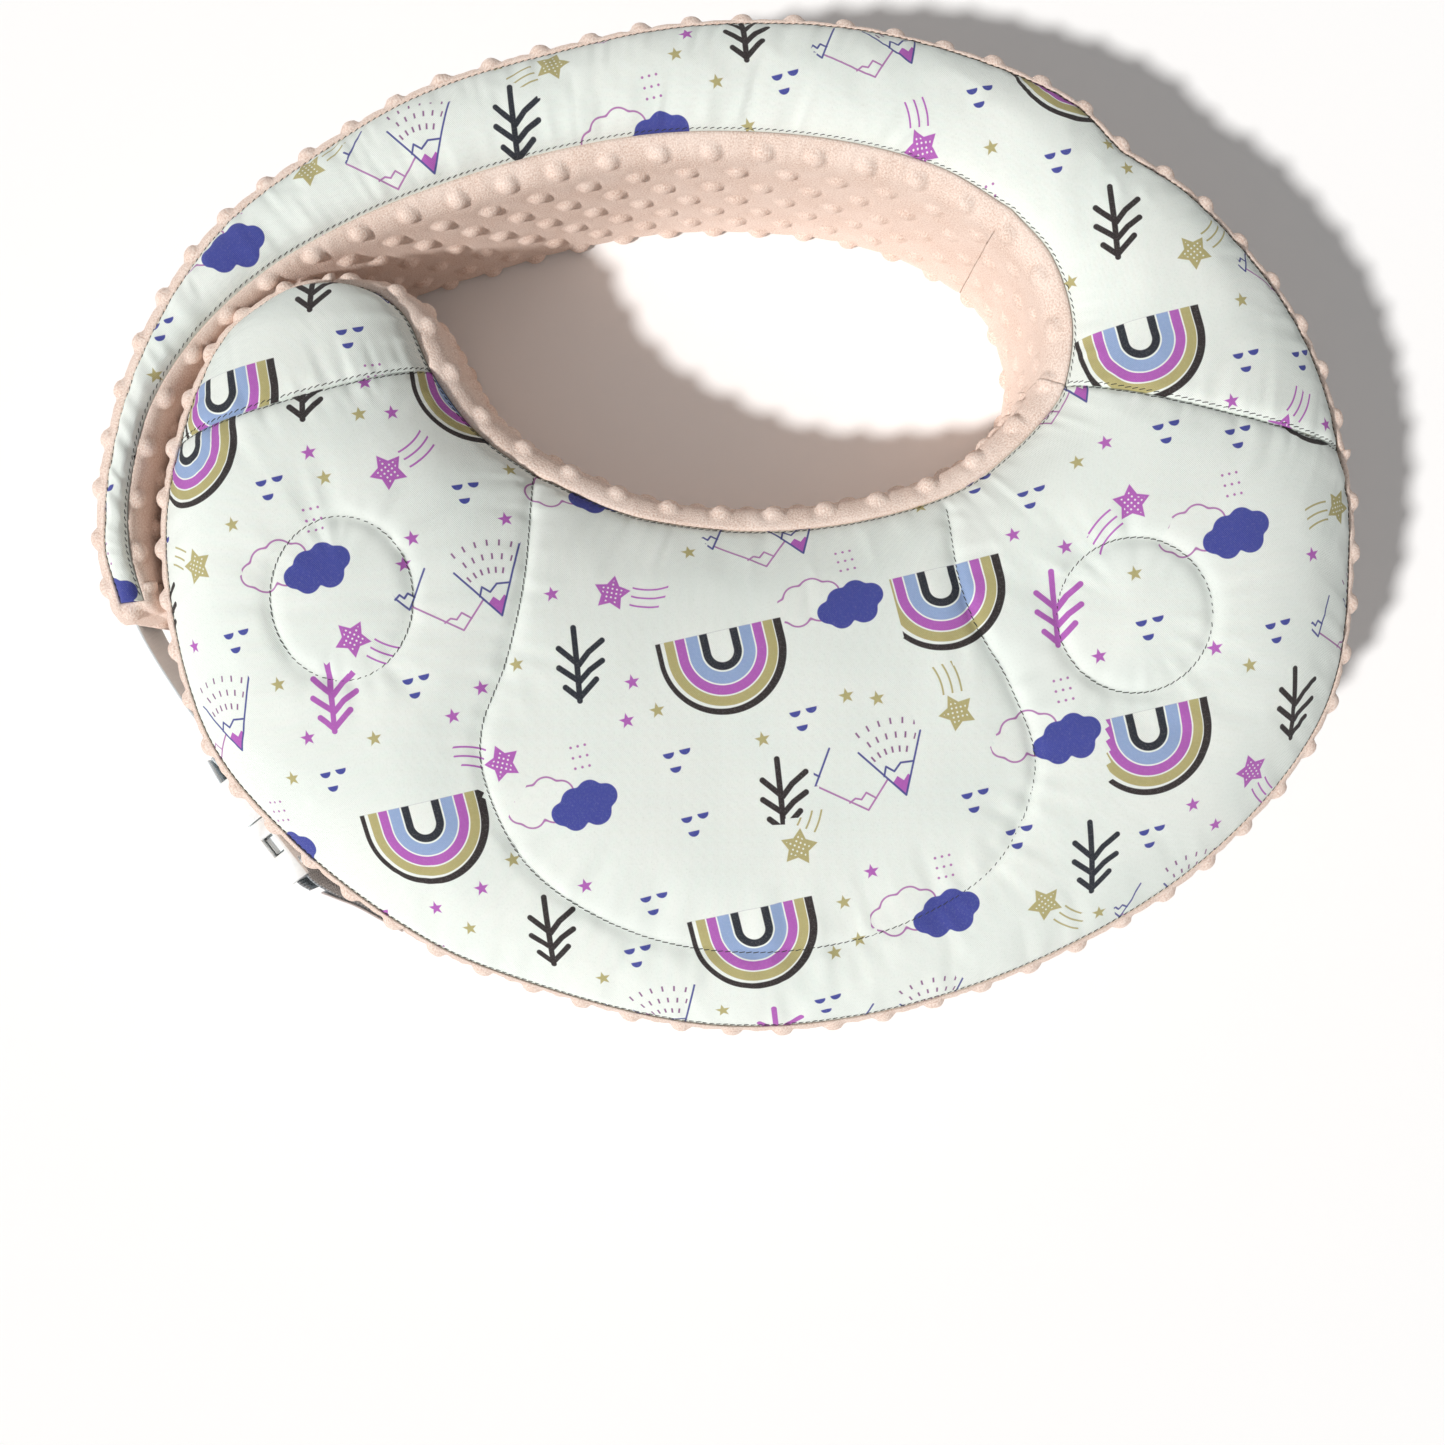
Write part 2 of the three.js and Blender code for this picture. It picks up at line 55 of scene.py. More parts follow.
# ---- Outline, as in the CAD part: stations from the fold at the band root, each with the hole-side
# seam x, y, the outer seam x, y, the crown, and the swell of the hole-side and outer side strips.
# The outer strips swell a little less than the CAD's, because the plush is pulled tight there.
CENTRE = np.array([3.15, -1.47])
SEAM_HEIGHT = 115.0
CUSHION = np.array([
    [134, 152, 187, 179, 8, 12, 5.5], [153, 130, 223, 154.5, 11, 12, 5.5],
    [163, 98, 270, 96, 16, 12, 6], [159.5, 68, 290, 36.4, 23, 12, 6],
    [155, 59, 294.6, -10, 28, 12, 6], [134, 36, 283, -87, 30, 12, 5],
    [109, 18, 223, -160.5, 27, 12, 4], [64, 3.6, 111, -220, 24.5, 12, 4],
    [13, -1.7, -1, -237.6, 24, 12, 4], [-34, 2.6, -113, -211, 24, 12, 4],
    [-55, 8, -155, -190.5, 24.5, 12, 4], [-76, 17, -209, -149, 26, 12, 4.5],
    [-98, 28, -249.5, -99, 29, 12, 5], [-123, 47, -269, -14.5, 30, 12, 5.5],
    [-143, 74.5, -263, 39, 25, 12, 5.5], [-155, 100, -242, 89, 18, 11, 5.5],
    [-166, 110, -226, 104, 12, 9, 5.5], [-176, 114.2, -211, 112.8, 7, 7, 5.5],
    [-183, 115.8, -198, 115.6, 3, 6, 5.5],
])
BAND = np.array([
    [134, 152, 187, 179, 8, 12, 5.5], [100, 172, 159.5, 204.5, 8.5, 12, 4.5],
    [45, 186, 70, 236, 9, 12, 4], [-25, 189, -15, 239.5, 9, 12, 4],
    [-79.5, 181, -86, 226, 9, 12, 5], [-135, 165, -151, 205, 8.5, 11, 6],
    [-182, 146, -204, 173, 8, 8, 7], [-225, 120.5, -240, 145, 7, 5.5, 8],
    [-257, 90, -268, 107, 6, 5.5, 8], [-278, 55.5, -286, 68, 5, 5.5, 8],
    [-287, 17, -296, 28, 4.5, 5.5, 8], [-287.6, 0, -298, 7, 4.5, 5.5, 8],
    [-286, -14.5, -298, -12, 4, 5.5, 8], [-280, -34.5, -291, -36, 4, 5.5, 8],
])
RIGHT_SEAM, SIDE_SEAM, LEFT_SEAM = 3, 10, 14
CUSHION_END, BAND_END = len(CUSHION) - 1, len(BAND) - 1

# ---- Where the straps lie on the walls, at one height: the webbing by the buckle, and the elastic.
STRAP_Z = 57.0
ON_WALL = [(-164.5, -197), (-176, -190.8), (-187.8, -184.4), (-199, -180)]
ELASTIC_ROUTE = [(-306.8, 26), (-308, 6), (-307.6, -14), (-301, -40), (-279, -78)]

# ---- Small tools

rng = np.random.default_rng(7)
NOISE_SIDE = 256
NOISE = rng.uniform(-1, 1, (NOISE_SIDE, NOISE_SIDE))


def soft_noise(x, y, size, seed=0):
    """Smooth noise from -1 to 1 with hills about a size across."""
    u, v = np.asarray(x) / size + 17.3 * seed, np.asarray(y) / size + 5.1 * seed
    i, j = np.floor(u).astype(int), np.floor(v).astype(int)
    f, g = u - i, v - j
    f, g = f * f * (3 - 2 * f), g * g * (3 - 2 * g)
    at = lambda a, b: NOISE[a % NOISE_SIDE, b % NOISE_SIDE]
    low = at(i, j) * (1 - f) + at(i + 1, j) * f
    high = at(i, j + 1) * (1 - f) + at(i + 1, j + 1) * f
    return low * (1 - g) + high * g


def smooth(points, at):
    """Places on the centripetal curve through points, at station numbers."""
    points = np.asarray(points, float)
    last = len(points) - 1
    i = np.clip(np.floor(at).astype(int), 0, last - 1)
    f = (at - i)[:, None]
    run = np.vstack([2 * points[0] - points[1], points, 2 * points[-1] - points[-2]])
    p0, p1, p2, p3 = run[i], run[i + 1], run[i + 2], run[i + 3]
    knot = lambda a, b: np.maximum(((b - a) ** 2).sum(1) ** 0.25, 1e-4)[:, None]
    d0, d1, d2 = knot(p0, p1), knot(p1, p2), knot(p2, p3)
    t1 = ((p1 - p0) / d0 - (p2 - p0) / (d0 + d1) + (p2 - p1) / d1) * d1
    t2 = ((p2 - p1) / d1 - (p3 - p1) / (d1 + d2) + (p3 - p2) / d2) * d1
    return p1 + t1 * f + (3 * (p2 - p1) - 2 * t1 - t2) * f**2 + (2 * (p1 - p2) + t1 + t2) * f**3


def lengths(line):
    """Length along a line of points up to each point."""
    return np.concatenate([[0], np.cumsum(np.linalg.norm(np.diff(line, axis=0), axis=1))])


def even_line(points, step, closed=False):
    """The smooth line through points, resampled evenly."""
    points = np.asarray(points, float)
    if closed:
        points = np.vstack([points, points[:1]])
    fine = smooth(points, np.linspace(0, len(points) - 1, 30 * len(points)))
    run = lengths(fine)
    at = np.linspace(0, run[-1], max(int(run[-1] / step), 2) + 1)
    return np.c_[[np.interp(at, run, fine[:, k]) for k in range(fine.shape[1])]].T


def normals_of(line):
    """Unit normals to the left of a level line."""
    run = np.gradient(line[:, :2], axis=0)
    run /= np.linalg.norm(run, axis=1)[:, None]
    return np.c_[-run[:, 1], run[:, 0]]


class Rows:
    """Cross-sections of a ribbon: hole-side and outer seam points, crown and swells."""

    def __init__(self, stations, at):
        at = np.asarray(at, float)
        even = lambda column: smooth(np.c_[np.arange(len(stations)) * 20.0, stations[:, column]], at)[:, 1]
        self.hole = smooth(stations[:, 0:2], at) + CENTRE
        self.outer = smooth(stations[:, 2:4], at) + CENTRE
        self.crown = even(4)
        self.swell = np.c_[
            np.interp(at, np.arange(len(stations)), stations[:, 5]),
            np.interp(at, np.arange(len(stations)), stations[:, 6]),
        ]

    def __add__(self, other):
        both = object.__new__(Rows)
        for name in ("hole", "outer", "crown", "swell"):
            setattr(both, name, np.concatenate([getattr(self, name), getattr(other, name)[1:]]))
        return both

    def edge(self, side):
        return (self.hole, self.outer)[side]


def even_rows(stations, first, last, step):
    """Rows between two stations, evenly spaced along the middle of the ribbon."""
    at = np.linspace(first, last, int(60 * abs(last - first)) + 2)
    fine = Rows(stations, at)
    run = lengths((fine.hole + fine.outer) / 2)
    return Rows(stations, np.interp(np.linspace(0, run[-1], int(run[-1] / step) + 2), run, at))


def put(name, data):
    """A new object in the scene."""
    made = bpy.data.objects.new(name, data)
    bpy.context.scene.collection.objects.link(made)
    return made


def write_vectors(mesh, name, domain, values):
    """Stores three numbers for each point or face corner."""
    attribute = mesh.attributes.new(name, "FLOAT_VECTOR", domain)
    attribute.data.foreach_set("vector", np.asarray(values, np.float32).ravel())


def make_object(name, points, faces, material, cloth=None):
    """A mesh object from points in millimetres; cloth holds the flat cloth's coordinates."""
    mesh = bpy.data.meshes.new(name)
    mesh.from_pydata((np.asarray(points) * MM).tolist(), [], faces)
    mesh.validate()
    if cloth is not None:
        write_vectors(mesh, "cloth", "POINT", np.c_[cloth, np.zeros(len(points))])
    mesh.materials.append(material)
    mesh.polygons.foreach_set("use_smooth", [True] * len(mesh.polygons))
    return put(name, mesh)


def loft_faces(rows, count):
    """Quads between equal closed loops, with the two end loops closed."""
    faces = []
    for i in range(rows - 1):
        a = i * count
        for j in range(count):
            k = (j + 1) % count
            faces.append((a + j, a + k, a + count + k, a + count + j))
    faces.append(tuple(range(count))[::-1])
    faces.append(tuple(range((rows - 1) * count, rows * count)))
    return faces


def loft(name, sections, material, cloth=None):
    """A closed body through sections, an array of rows, loop points and coordinates."""
    rows, count, _ = sections.shape
    points = sections.reshape(-1, 3)
    faces = loft_faces(rows, count)
    a, b, c = (points[[face[k] for face in faces[: (rows - 1) * count]]] for k in range(3))
    middle = points.mean(0)
    if np.einsum("ij,ij->i", a - middle, np.cross(b - middle, c - middle)).sum() < 0:
        faces = [face[::-1] for face in faces]
    return make_object(name, points, faces, material, None if cloth is None else cloth.reshape(-1, 2))


# ---- Materials


class Shader:
    """A Principled material whose nodes are made in the order in which they are used."""

    def __init__(self, name):
        self.material = bpy.data.materials.new(name)
        self.material.use_nodes = True
        self.tree = self.material.node_tree
        self.surface = self.tree.nodes["Principled BSDF"]

    def node(self, kind, **inputs):
        made = self.tree.nodes.new("ShaderNode" + kind)
        for key, value in inputs.items():
            self.feed(made.inputs[key.replace("_", " ")], value)
        return made

    def feed(self, socket, value):
        if isinstance(value, bpy.types.NodeSocket):
            self.tree.links.new(value, socket)
        elif value is not None:
            socket.default_value = value

    def math(self, operation, a, b=None, c=None, clamp=False):
        made = self.tree.nodes.new("ShaderNodeMath")
        made.operation, made.use_clamp = operation, clamp
        for socket, value in zip(made.inputs, (a, b, c)):
            self.feed(socket, value)
        return made.outputs[0]

    def vector(self, operation, a, b=None, c=None):
        made = self.tree.nodes.new("ShaderNodeVectorMath")
        made.operation = operation
        for socket, value in zip(made.inputs, (a, b, c)):
            self.feed(socket, value)
        return made.outputs["Value" if operation in ("LENGTH", "DOT_PRODUCT", "DISTANCE") else "Vector"]

    def scaled(self, vector, factor):
        made = self.tree.nodes.new("ShaderNodeVectorMath")
        made.operation = "SCALE"
        self.feed(made.inputs[0], vector)
        self.feed(made.inputs["Scale"], factor)
        return made.outputs[0]

    def mix(self, factor, a, b):
        made = self.tree.nodes.new("ShaderNodeMix")
        made.data_type = "RGBA"
        for socket, value in ((0, factor), (6, a), (7, b)):
            self.feed(made.inputs[socket], value)
        return made.outputs[2]

    def ramp(self, factor, low, high, to_low=0.0, to_high=1.0):
        ends = {"From_Min": low, "From_Max": high, "To_Min": to_low, "To_Max": to_high}
        return self.node("MapRange", Value=factor, **ends).outputs[0]

    def parts(self, vector):
        """The first two coordinates of a vector."""
        made = self.node("SeparateXYZ", Vector=vector)
        return made.outputs[0], made.outputs[1]

    def place(self):
        """The place on the object in millimetres."""
        return self.scaled(self.node("TexCoord").outputs["Object"], 1 / MM)

    def wave(self, value, length):
        """A sine wave of this length."""
        return self.math("SINE", self.math("MULTIPLY", value, 2 * math.pi / length))

    def attribute(self, name):
        made = self.tree.nodes.new("ShaderNodeAttribute")
        made.attribute_name = name
        return made.outputs["Vector"]

    def noise(self, vector, scale, detail=2.0, roughness=0.5):
        made = self.node("TexNoise", Vector=vector, Scale=scale, Detail=detail, Roughness=roughness)
        return made.outputs["Fac"]

    def bump(self, height, distance, strength=1.0, normal=None):
        made = self.node("Bump", Height=height, Distance=distance, Strength=strength, Normal=normal)
        return made.outputs["Normal"]

    def finish(self, colour=None, normal=None, **values):
        if colour is not None:
            self.feed(self.surface.inputs["Base Color"], colour)
        if normal is not None:
            self.feed(self.surface.inputs["Normal"], normal)
        for key, value in values.items():
            self.feed(self.surface.inputs[key.replace("_", " ")], value)
        return self.material


def rgb(red, green, blue):
    """A colour given by its screen values from 0 to 255, as linear light."""
    shares = [value / 255 for value in (red, green, blue)]
    linear = [v / 12.92 if v < 11 / 255 else ((v + 0.055) / 1.055) ** 2.4 for v in shares]
    return (*linear, 1.0)


def weave(shader, flat, thread):
    """Height of a plain weave with a thread spacing in millimetres, from flat cloth coordinates."""
    across, along = shader.parts(shader.scaled(flat, math.pi / thread))
    return shader.math("MULTIPLY", shader.math("SINE", across), shader.math("SINE", along))


# ---- Print: small motifs stamped on the flat cloth

PLUM, NAVY, KHAKI = rgb(28, 4, 12), rgb(6, 10, 34), rgb(184, 174, 116)
PINK, PERIWINKLE, BLUE = rgb(182, 90, 188), rgb(150, 174, 216), rgb(56, 64, 158)
MAUVE, INDIGO, COTTON = rgb(178, 112, 176), rgb(66, 70, 146), rgb(245, 250, 244)
TILT = 13

# Each motif: how far it reaches round its place, in millimetres.
REACH = {"rainbow": 31, "cloud": 30, "sprig": 17, "comet": 18, "star": 5, "moons": 13, "mountains": 27}
SHAPES = list(REACH)

# The print's motifs in the order in which they are placed: colours in turn, number per square decimetre.
MOTIFS = [
    ("rainbow", (PLUM,), 0.6), ("mountains", (INDIGO,), 0.5), ("cloud", (BLUE,), 0.65),
    ("sprig", (PLUM, PLUM, PINK, NAVY), 0.75), ("comet", (PINK, KHAKI), 0.85), ("moons", (BLUE,), 1.5),
    ("star", (KHAKI, PINK), 3.6),
]
SQUARE_DECIMETRE = 10000.0
CANDIDATES = 60
OWN_KIND_APART = 60.0


def scatter(flat, seed):
    """Motifs spread over flat cloth: each goes to the clearest of some random spots."""
    throw = np.random.default_rng(seed)
    low, high = flat.min(0), flat.max(0)
    placed = []
    for name, colours, density in MOTIFS:
        apart = OWN_KIND_APART if name not in ("moons", "star") else 0.0
        for number in range(round(density * np.prod(high - low) / SQUARE_DECIMETRE)):
            spots = low + (high - low) * throw.random((CANDIDATES, 2))
            clear = np.full(CANDIDATES, np.inf)
            for other, x, y, *_ in placed:
                away = np.hypot(spots[:, 0] - x, spots[:, 1] - y) - REACH[name] - REACH[other]
                clear = np.minimum(clear, away - apart * (other == name))
            x, y = spots[clear.argmax()]
            turn = 360 * throw.random() if name == "comet" else TILT
            if clear.max() > -apart:
                placed.append((name, x, y, turn, colours[number % len(colours)]))
    return placed


def stamp(mesh, seed):
    """Gives each face its nearest motif: its own coordinates in the motif, the motif's number and ink."""
    flat = np.zeros(len(mesh.vertices) * 3, np.float32)
    mesh.attributes["cloth"].data.foreach_get("vector", flat)
    flat = flat.reshape(-1, 3)[:, :2]
    corner_vertex = np.zeros(len(mesh.loops), int)
    mesh.loops.foreach_get("vertex_index", corner_vertex)
    sides = np.zeros(len(mesh.polygons), int)
    mesh.polygons.foreach_get("loop_total", sides)
    corner_face = np.repeat(np.arange(len(sides)), sides)
    centre = np.zeros((len(sides), 2))
    np.add.at(centre, corner_face, flat[corner_vertex])
    centre /= sides[:, None]
    best = np.full(len(sides), np.inf)
    place, turn = np.zeros((len(sides), 2)), np.zeros(len(sides))
    shape, ink = np.zeros(len(sides)), np.zeros((len(sides), 3))
    for name, x, y, own_turn, colour in scatter(flat, seed):
        clear = np.hypot(centre[:, 0] - x, centre[:, 1] - y) - REACH[name]
        nearer = clear < best
        best[nearer], place[nearer], turn[nearer] = clear[nearer], (x, y), own_turn
        shape[nearer], ink[nearer] = SHAPES.index(name), colour[:3]
    local = flat[corner_vertex] - place[corner_face]
    angle = np.radians(turn[corner_face])
    u = local[:, 0] * np.cos(angle) + local[:, 1] * np.sin(angle)
    v = local[:, 1] * np.cos(angle) - local[:, 0] * np.sin(angle)
    write_vectors(mesh, "stamp", "CORNER", np.c_[u, v, shape[corner_face]])
    write_vectors(mesh, "ink", "CORNER", ink[corner_face])


class Print:
    """Paints one motif after another over a colour."""

    def __init__(self, shader, colour):
        self.shader, self.colour = shader, colour
        stamped = shader.attribute("stamp")
        self.at = shader.vector("MULTIPLY", stamped, (1, 1, 0))
        self.number = shader.node("SeparateXYZ", Vector=stamped).outputs[2]
        self.ink = shader.attribute("ink")

    def only(self, name):
        """1 on faces that hold this motif."""
        return self.shader.math("COMPARE", self.number, float(SHAPES.index(name)), 0.5)

    def paint(self, allowed, distance, edge, colour, soft=0.15):
        """Paints where the distance is under the edge."""
        mask = self.shader.ramp(distance, edge - soft, edge + soft, 1.0, 0.0)
        self.colour = self.shader.mix(self.shader.math("MULTIPLY", mask, allowed), self.colour, colour)

    def past(self, value, middle, half):
        """How far a value is outside a stretch round its middle."""
        away = self.shader.math("ABSOLUTE", self.shader.math("SUBTRACT", value, middle))
        return self.shader.math("SUBTRACT", away, half)

    def barred(self, past):
        """A large distance where something is past its limit, so that nothing is painted there."""
        return self.shader.math("MULTIPLY", self.shader.math("MAXIMUM", past, 0.0), 100.0)

    def nearest_of(self, distances, operation="MINIMUM", soft=None):
        """The smallest of some distances; each is made just before it is compared."""
        found = None
        for here in distances:
            found = here if found is None else self.shader.math(operation, found, here, soft)
        return found

    def segment(self, start, end):
        """Distance to a straight stroke."""
        run = np.subtract(end, start)
        gone = self.shader.vector("SUBTRACT", self.at, (*start, 0))
        share = self.shader.vector("DOT_PRODUCT", gone, (*(run / (run @ run)), 0))
        share = self.shader.math("ADD", share, 0.0, clamp=True)
        return self.shader.vector("DISTANCE", gone, self.shader.scaled(tuple([*run, 0]), share))

    def strokes(self, *lines):
        """Distance to the nearest of some bent strokes."""
        return self.nearest_of(self.segment(*ends) for line in lines for ends in zip(line, line[1:]))

    def star(self, tip, waist=0.42):
        """Less than zero inside a five-pointed star with its tips this far out."""
        sh = self.shader
        u, v = self.shader.parts(self.at)
        angle = sh.math("WRAP", sh.math("ARCTAN2", u, v), math.radians(36), math.radians(-36))
        angle = sh.math("ABSOLUTE", angle)
        radius = sh.vector("LENGTH", self.at)
        inner = np.array([math.cos(math.radians(36)), math.sin(math.radians(36))]) * waist * tip
        edge = np.array([inner[1], tip - inner[0]])
        edge /= np.linalg.norm(edge)
        along = sh.math("MULTIPLY", sh.math("COSINE", angle), float(edge[0]))
        across = sh.math("MULTIPLY_ADD", sh.math("SINE", angle), float(edge[1]), along)
        return sh.math("MULTIPLY_ADD", radius, across, float(-edge[0] * tip))

    def rainbow(self):
        sh, allowed = self.shader, self.only("rainbow")
        u, v = self.shader.parts(self.at)
        allowed = sh.math("MULTIPLY", allowed, sh.ramp(v, 9.4, 9.7, 1.0, 0.0))
        low = sh.math("MINIMUM", v, 0.0)
        radius = sh.vector("LENGTH", sh.node("CombineXYZ", X=u, Y=low).outputs[0])
        inner = sh.vector("LENGTH", sh.node("CombineXYZ", X=sh.math("ADD", u, 0.7), Y=low).outputs[0])
        self.paint(allowed, radius, 29.6, PLUM)
        self.paint(allowed, inner, 26.6, COTTON)
        for edge, colour in (
            (25.5, KHAKI), (21.1, COTTON), (20.4, PINK), (16.0, COTTON), (15.3, PERIWINKLE),
            (9.8, COTTON), (9.0, NAVY), (5.3, COTTON),
        ):
            self.paint(allowed, radius, edge, colour)

    def lobes(self, at):
        """Distance to a scalloped cloud of discs that run into each other."""
        sh = self.shader
        discs = (
            (3.6, 4.6, 5.4), (9.6, 2.2, 5.0), (-9.4, -1.6, 4.8),
            (-4.6, -4.4, 5.2), (5.0, -3.4, 5.8), (-3.4, 2.4, 5.6),
        )
        away = (sh.math("SUBTRACT", sh.vector("DISTANCE", at, (x, y, 0)), size) for x, y, size in discs)
        return self.nearest_of(away, "SMOOTH_MIN", 2.4)

    def cloud(self):
        sh, allowed = self.shader, self.only("cloud")
        whole, self.at = self.at, sh.scaled(self.at, 0.9)
        behind = self.lobes(sh.vector("ADD", self.at, (17.5, -5.0, 0)))
        self.paint(allowed, sh.math("ABSOLUTE", behind), 0.45, MAUVE)
        self.paint(allowed, behind, -0.3, COTTON)
        rain = sh.vector("SUBTRACT", self.at, (3.0, 20.0, 0))
        rain = sh.vector("WRAP", rain, (1.5, 2.2, 1), (-1.5, -2.2, -1))
        u, v = self.shader.parts(self.at)
        outside = self.barred(sh.math("MAXIMUM", self.past(u, 3.0, 4.0), self.past(v, 20.0, 7.0)))
        self.paint(allowed, sh.math("ADD", sh.vector("LENGTH", rain), outside), 0.55, MAUVE)
        self.paint(allowed, self.lobes(self.at), 0.0, BLUE)
        self.at = whole

    def sprig(self):
        allowed = self.only("sprig")
        stem = [(2.2, 16.8), (0.0, -2.0), (-2.1, -16.8)]
        twigs = [
            [(13.8, 8.2), (6.5, 4.2), (1.0, -0.6), (-6.4, 8.8)],
            [(11.9, -1.0), (5.4, -4.0), (-0.3, -8.2), (-8.2, 0.0)],
            [(7.4, -8.8), (-2.0, -15.6), (-7.2, -9.4)],
        ]
        self.paint(allowed, self.strokes(stem, *twigs), 1.35, self.ink)

    def comet(self):
        sh, allowed = self.shader, self.only("comet")
        u, v = self.shader.parts(self.at)
        bow = sh.vector("DISTANCE", self.at, (12.0, 30.0, 0))
        lane = sh.math("ABSOLUTE", sh.math("WRAP", sh.math("SUBTRACT", bow, 30.0), 2.1, -2.1))
        outside = self.barred(sh.math("MAXIMUM", self.past(bow, 30.0, 6.2), self.past(u, 17.5, 8.5)))
        self.paint(allowed, sh.math("ADD", lane, outside), 0.42, self.ink)
        body = self.star(8.4, 0.55)
        self.paint(allowed, body, 0.2, self.ink)
        dots = sh.vector("LENGTH", sh.vector("WRAP", self.at, (1.05, 1.05, 1), (-1.05, -1.05, -1)))
        rim = self.barred(sh.math("ADD", body, 1.0))
        self.paint(allowed, sh.math("ADD", dots, rim), 0.45, COTTON)

    def small_star(self):
        self.paint(self.only("star"), self.star(3.4), 0.1, self.ink)

    def moons(self):
        allowed = self.only("moons")
        halves = (self.half_disc(*middle) for middle in ((-3.8, 1.0), (3.9, 1.3), (-2.0, -5.9)))
        self.paint(allowed, self.nearest_of(halves), 0.0, self.ink)

    def half_disc(self, x, y):
        """Less than zero in the lower half of a small disc."""
        here = self.shader.vector("SUBTRACT", self.at, (x, y, 0))
        flat_side = self.shader.parts(here)[1]
        disc = self.shader.math("SUBTRACT", self.shader.vector("LENGTH", here), 2.6)
        return self.shader.math("MAXIMUM", disc, flat_side)

    def mountains(self):
        sh, allowed = self.shader, self.only("mountains")
        whole, self.at = self.at, sh.scaled(self.at, 0.92)
        u, v = self.shader.parts(self.at)
        left, foot, right = (4.7, -2.9), (11.0, -10.9), (15.3, -2.0)
        tip = sh.math("MAXIMUM", self.beyond(left, foot), self.beyond(foot, right))
        tooth = sh.math("PINGPONG", sh.math("ADD", u, 30.0), 2.3)
        tip = sh.math("MAXIMUM", tip, sh.math("SUBTRACT", v, sh.math("ADD", tooth, -4.6)))
        self.paint(allowed, tip, 0.0, PINK)
        mauve = self.strokes(
            [(-25.3, 1.3), (-5.9, -13.6), (4.7, -2.9)],
            [(-12.9, -8.9), (-10.2, -7.6), (-7.8, -8.6), (-5.2, -6.2), (-1.6, -9.4)],
        )
        self.paint(allowed, mauve, 0.38, MAUVE)
        blue = self.strokes(
            [(-38.9, 15.8), (-26.3, 0.0), (-16.3, 15.4)],
            [(-30.9, 5.2), (-28.7, 6.8), (-27.2, 5.0), (-25.4, 6.8), (-23.0, 4.8)],
            [(-4.7, 10.8), (11.0, -10.9), (27.2, 23.6)],
            [(3.7, -1.2), (5.3, 2.6), (8.3, -0.1), (11.7, 2.9), (17.0, 2.4)],
        )
        self.paint(allowed, blue, 0.42, INDIGO)
        spray = sh.vector("SUBTRACT", self.at, (9.5, -9.0, 0))
        du, dv = sh.parts(spray)
        fan = sh.math("ARCTAN2", du, dv)
        away = sh.vector("LENGTH", spray)
        row = sh.math("ABSOLUTE", sh.math("WRAP", away, 3.0, -3.0))
        number = sh.math("FLOOR", sh.math("DIVIDE", sh.math("ADD", away, 3.0), 6.0))
        lean = sh.math("MULTIPLY_ADD", number, 0.055, fan)
        ray = sh.math("MULTIPLY", sh.math("ABSOLUTE", sh.math("WRAP", lean, 0.085, -0.085)), away)
        dash = sh.math("MAXIMUM", sh.math("SUBTRACT", row, 0.9), ray)
        outside = self.barred(sh.math("MAXIMUM", self.past(fan, -0.03, 0.5), self.past(away, 23.0, 9.0)))
        self.paint(allowed, sh.math("ADD", dash, outside), 0.4, sh.mix(0.45, MAUVE, PLUM))
        self.at = whole

    def beyond(self, start, end):
        """Distance to the right of a directed line."""
        run = np.subtract(end, start) / np.linalg.norm(np.subtract(end, start))
        gone = self.shader.vector("SUBTRACT", self.at, (*start, 0))
        return self.shader.vector("DOT_PRODUCT", gone, (run[1], -run[0], 0))


def printed_cotton():
    """Fine plain-woven cotton with a faint green cast and the printed motifs."""
    shader = Shader("printed_cotton")
    flat = shader.attribute("cloth")
    cast = shader.noise(flat, 0.02, 2.0)
    ground = shader.mix(shader.ramp(cast, 0.35, 0.65), COTTON, rgb(240, 247, 241))
    painted = Print(shader, ground)
    for motif in (painted.rainbow, painted.cloud, painted.sprig, painted.comet, painted.small_star,
                  painted.moons, painted.mountains):
        motif()
    slub = shader.noise(shader.vector("MULTIPLY", flat, (1.0, 0.55, 1.0)), 1.6, 3.0, 0.7)
    worn = shader.noise(flat, 0.9, 4.0, 0.7)
    inked = shader.mix(shader.ramp(worn, 0.42, 0.75, 0.0, 0.11), painted.colour, ground)
    colour = shader.mix(shader.ramp(slub, 0.6, 0.78, 0.0, 0.2), inked, rgb(250, 252, 248))
    colour = shader.mix(shader.ramp(slub, 0.2, 0.42, 0.3, 0.0), colour, rgb(150, 158, 150))
    colour = shader.mix(shader.ramp(worn, 0.32, 0.52, 0.1, 0.0), colour, rgb(190, 200, 194))
    threads = shader.math("ADD", weave(shader, flat, 0.5), shader.math("MULTIPLY", slub, 1.6))
    normal = shader.bump(threads, 0.00018, 0.8)
    return shader.finish(
        colour, normal, Roughness=0.88, Sheen_Weight=0.06, Sheen_Roughness=0.5, Specular_IOR_Level=0.2
    )


def plush():
    """Short dense pile; its darker specks where it parts are painted shade in the pile's dips."""
    shader = Shader("dimpled_plush")
    flat = shader.attribute("cloth")
    pile = shader.noise(flat, 1.1, 3.0, 0.65)
    patch = shader.noise(flat, 0.06, 2.0)
    # Painted shade: the darker peach goes where the pile noise, which also gives the bump's height, is low;
    # the lighter patches are the plush's own tone.
    colour = shader.mix(shader.ramp(pile, 0.35, 0.62), rgb(214, 182, 164), rgb(250, 232, 220))
    colour = shader.mix(shader.ramp(patch, 0.35, 0.7, 0.0, 0.35), colour, rgb(253, 238, 228))
    normal = shader.bump(pile, 0.0008, 0.8)
    return shader.finish(
        colour, normal, Roughness=0.95, Sheen_Weight=0.5, Sheen_Roughness=0.4, Sheen_Tint=rgb(255, 236, 224)
    )


